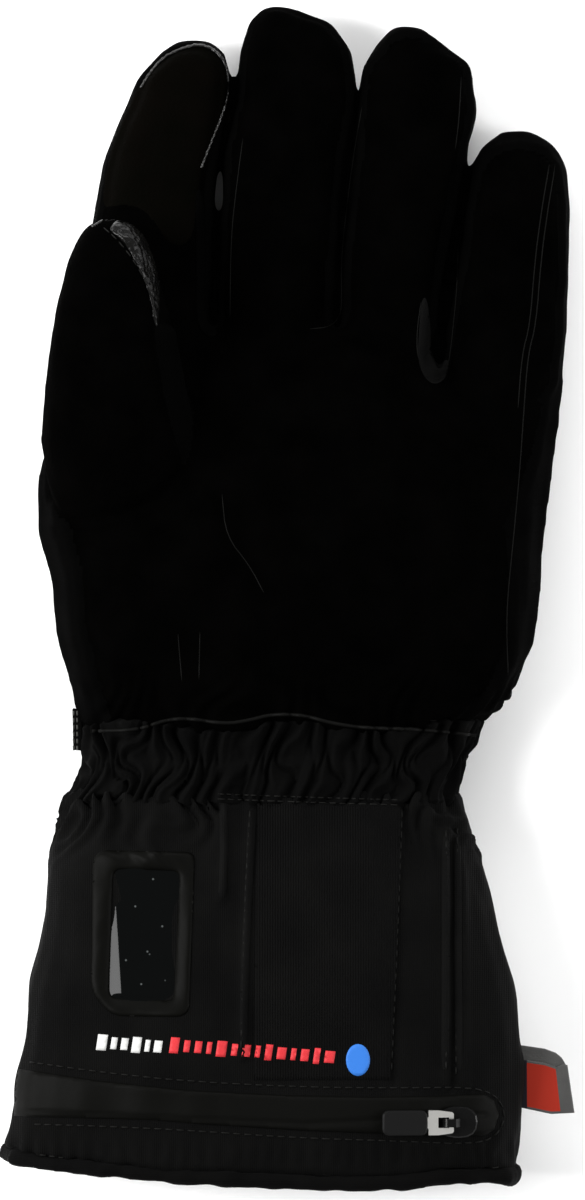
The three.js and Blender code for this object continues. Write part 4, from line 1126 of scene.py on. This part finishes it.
def make_wrist_tab():
    """A short flat tab that stands out at the left of the wrist, with two rows of pale stitches."""
    piece = box_object("tab_at_wrist", [plan(*p) for p in WRIST_TAB], WRIST_TAB_HEIGHTS)
    bevel = piece.modifiers.new("bevel", "BEVEL")
    bevel.width, bevel.segments = 0.5 * MM, 3
    dress(piece, binding_cloth, "binding_tape", "wrist_tab")
    rows = Batch()
    high = WRIST_TAB_HEIGHTS[1]
    for px in TAB_STITCH_COLUMNS:
        for py in np.arange(*TAB_STITCH_ROWS):
            a, b = plan(px, py), plan(px + 0.3, py + 4.5)
            rows.tube([Vector((*a, high)), Vector((*b, high))], 0.3 * MM, sides=6)
    dress(rows.build("tab_stitches"), pale_thread, "binding_tape")


LABEL_UPPER = [(503, 1044), (524, 1046), (545, 1049), (556, 1053), (562, 1058), (566, 1065)]
LABEL_LOWER = [(499, 1103), (551, 1114), (573, 1113)]
LABEL_HEIGHT = 20.6 * MM
LABEL_MIDDLE = (515, 1080)
LABEL_CURL = 0.9 * MM
LABEL_ROWS, LABEL_COLUMNS = 40, 42
# How far the upper layer lies back from the lower one's edge, in pixels
LABEL_LEAN = 14
# Rows and columns of the woven block on the upper layer
BLOCK_ROWS, BLOCK_COLUMNS = (2, 38), (16, 35)
# The ribbon's thickness
LABEL_THICKNESS = 0.3 * MM
FITTINGS = [
    # CAD node, material, width of its rounded edges
    ("zip_slider", gloss_black, 0.25 * MM),
    ("zip_pull_link", metal, 0.2 * MM),
    ("zip_pull_tab", rubber, 0.25 * MM),
]


def make_label():
    """A ribbon folded on itself at its outer end, with both tails sewn into the cuff's edge."""
    out = np.linspace(0, 1, LABEL_COLUMNS + 1)
    turn = np.linspace(0, math.pi, 9)[1:-1]
    along = np.concatenate([out, np.ones(len(turn)), out[::-1]])
    beyond = np.concatenate([0 * out, np.sin(turn), 0 * out])
    side = np.concatenate([0 * out + 1, np.cos(turn), 0 * out - 1])
    # The two layers part a little towards the tails and close at the fold.
    half = 0.28 * MM + 0.35 * MM * (1 - along)
    lean = LABEL_LEAN * np.clip((1 - along) / 0.15, 0, 1) * (1 + side) / 2
    edges = []
    for path in (LABEL_UPPER, LABEL_LOWER):
        xs, ys = zip(*path)
        px = xs[0] + along * (xs[-1] - xs[0])
        edges.append(np.stack([px, np.interp(px, xs, ys)], axis=1))
    points = []
    for share in np.linspace(0, 1, LABEL_ROWS + 1):
        px, py = ((1 - share) * edges[0] + share * edges[1]).T
        py = py + (1 - share) * lean
        curl = LABEL_CURL * np.sin((px - LABEL_MIDDLE[0]) / 34 + (py - LABEL_MIDDLE[1]) / 60)
        x, y = plan(px, py)
        points.append(np.stack([x + beyond * half, y, LABEL_HEIGHT + curl + side * half], axis=1))
    n = len(along)
    faces, ink_and_painted_shade = [], []
    for row in range(LABEL_ROWS):
        for k in range(n - 1):
            a = row * n + k
            faces.append((a, a + n, a + n + 1, a + 1))
            block = BLOCK_ROWS[0] <= row < BLOCK_ROWS[1] and BLOCK_COLUMNS[0] <= k < BLOCK_COLUMNS[1]
            # Faces before the block's columns get the dark colour, painted shade where the tail runs in under the
            # cuff's edge; the block itself is the red weave.
            ink_and_painted_shade.append(1 if block else 2 if k < BLOCK_COLUMNS[0] else 0)
    piece = object_from("folded_label", np.concatenate(points), faces)
    for material in (satin, label_red, label_painted_shade):
        piece.data.materials.append(material)
    piece.data.polygons.foreach_set("material_index", ink_and_painted_shade)
    dress(piece, satin, "satin", "side_label")
    body = piece.modifiers.new("thickness", "SOLIDIFY")
    body.thickness, body.offset = LABEL_THICKNESS, 0


def finish_fittings():
    """Small hard fittings stay as the CAD has them, with finer edges."""
    for node, material, width in FITTINGS:
        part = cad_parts[node]
        part.data.materials.clear()
        part.data.materials.append(material)
        modifier = part.modifiers.new("edges", "BEVEL")
        modifier.width = width
        modifier.segments = 2
        modifier.limit_method = "ANGLE"


make_binding()
make_wrist_tab()
make_label()
finish_fittings()


# Piping, stitches and print

PALM_HEM = [
    (92, 731), (139, 730), (164, 720), (189, 718), (225, 724), (250, 720), (272, 714), (305, 715), (330, 723),
    (366, 728), (416, 729), (476, 735),
]
SEAM_ROWS = [
    [(218, 794), (300, 797), (400, 800)],
    [(218, 799), (300, 802), (400, 805)],
    [(446, 830), (446, 900), (446, 1078)],
    [(457, 828), (457, 900), (456, 1078)],
    [(402, 810), (398, 920), (391, 1078)],
    [(250, 810), (245, 900), (241, 1050)],
    [(30, 1062), (100, 1072), (184, 1081), (300, 1087), (400, 1088), (470, 1087), (494, 1094), (504, 1108),
     (504, 1122), (494, 1138), (470, 1144), (400, 1141), (300, 1138), (184, 1130), (100, 1126), (30, 1124)],
    [(20, 1152), (80, 1160), (160, 1172), (240, 1178), (340, 1180), (440, 1176), (505, 1166)],
]
THUMB_SEAM = [(104, 228), (116, 238), (133, 259), (145, 280), (153, 300), (156, 326)]
EDGE_RADIUS = 0.17 * MM
# Thin turned edges where the panels of the hand meet
HAND_EDGES = [
    [(243, 138), (237, 184), (231, 237), (230, 318)],
    [(362, 107), (352, 165), (344, 230), (341, 268), (342, 306), (339, 318), (330, 327), (310, 329)],
    [(461, 77), (459, 119), (455, 150)],
    [(421, 302), (417, 330), (417, 356), (424, 374), (436, 383), (448, 371), (453, 330), (457, 289), (458, 249)],
    [(555, 165), (547, 214), (541, 260), (536, 325), (528, 354), (524, 408), (519, 480), (512, 552),
     (506, 613), (508, 675)],
    [(549, 165), (541, 214), (535, 260), (530, 325), (522, 354), (518, 408)],
    [(222, 494), (226, 536), (250, 566), (264, 593)],
    [(178, 634), (182, 682)],
    [(200, 632), (199, 680)],
]


def raised(path, rounds, spacing, lift, lowest=0.0):
    """Points along a curved path of pixels, a little above the surface."""
    points = with_zip.laid(spread(curved(path, rounds), spacing), lowest)
    return [p + Vector((0, 0, lift)) for p in points]


def make_roll(name, line, radius, sides, material, slot):
    batch = Batch()
    batch.tube(line, radius, sides)
    dress(batch.build(name), material, slot)


def make_sewing():
    stitches = Batch()
    for path in SEAM_ROWS:
        stitches.seam(with_zip, curved(path, 1))
    stitches.seam(with_zip, curved(THUMB_SEAM, 1), radius=0.2 * MM)
    dress(stitches.build("stitches"), thread, "side_cloth")
    edges = Batch()
    for path in HAND_EDGES:
        line = raised(path, 2, 0.6 * MM, 0.05 * MM)
        edges.tube(line, [EDGE_RADIUS * min(1, 0.3 + 0.2 * min(i, len(line) - 1 - i)) for i in range(len(line))], 6)
    dress(edges.build("panel_edges"), edge_cloth, "side_cloth")
    make_roll("piping", raised(PALM_HEM, 2, 0.6 * MM, 0.2 * MM), 0.55 * MM, 7, edge_cloth, "side_cloth")
    line = raised(INDEX_ROLL, 1, 0.5 * MM, 0.1 * MM)
    lumps = [0.42 * MM * (1 + 0.3 * math.sin(i * 1.9) * math.sin(i * 0.23)) for i in range(len(line))]
    make_roll("tip_roll", line, lumps, 8, roll_leather, "leather")
    line = raised(THUMB_TOP, 1, 0.5 * MM, 0.1 * MM, THUMB_MIDDLE)
    make_roll("thumb_roll", line, 0.4 * MM, 8, roll_leather, "leather")


make_sewing()


PRINT_SLOPE = 0.075
PRINT_LEAN = 0.15
BAR_HEIGHT, SHORT_BAR = 16, 12
BARS = [
    # piece, material, widths, start, row and gap in pixels, and how often a bar is tall
    ("mark_pale", print_pale, (10, 6, 7, 9, 5, 8), (97, 1042), 4, 3),
    ("mark_red", print_red, (9, 6, 7, 5, 10, 6, 8, 5, 7, 9, 5, 8, 6, 10), (170, 1045), 4.9, 4),
]
DOT_CENTRE, DOT_RADII = (358, 1060), (12, 16)


def bar(cx, cy, width, height):
    """Corners of a slanted bar about a centre."""
    corners = []
    for sx, sy in ((-1, -1), (1, -1), (1, 1), (-1, 1)):
        x = sx * width / 2 - PRINT_LEAN * sy * height / 2
        corners.append((cx + x, cy + sy * height / 2 + PRINT_SLOPE * x))
    return corners


def make_mark(name, material, outline):
    mark = layer(name, with_zip, outline, 0.12 * MM, spacing=0.8 * MM, edge=0.3 * MM, sink=0.2 * MM)
    dress(mark, material, "rib_cloth")


def make_print():
    """Plain slanted bars and a dot where the cuff carries its print."""
    for name, material, widths, (start, row), gap, every in BARS:
        at = start
        for k, width in enumerate(widths):
            cx = at + width / 2
            height = SHORT_BAR if k % every else BAR_HEIGHT
            make_mark(name, material, bar(cx, row + PRINT_SLOPE * (cx - start), width, height))
            at += width + gap
    turns = np.linspace(0, 2 * math.pi, 28, endpoint=False)
    make_mark("mark_blue", print_blue, [
        (DOT_CENTRE[0] + DOT_RADII[0] * math.cos(a), DOT_CENTRE[1] + DOT_RADII[1] * math.sin(a)) for a in turns])


make_print()
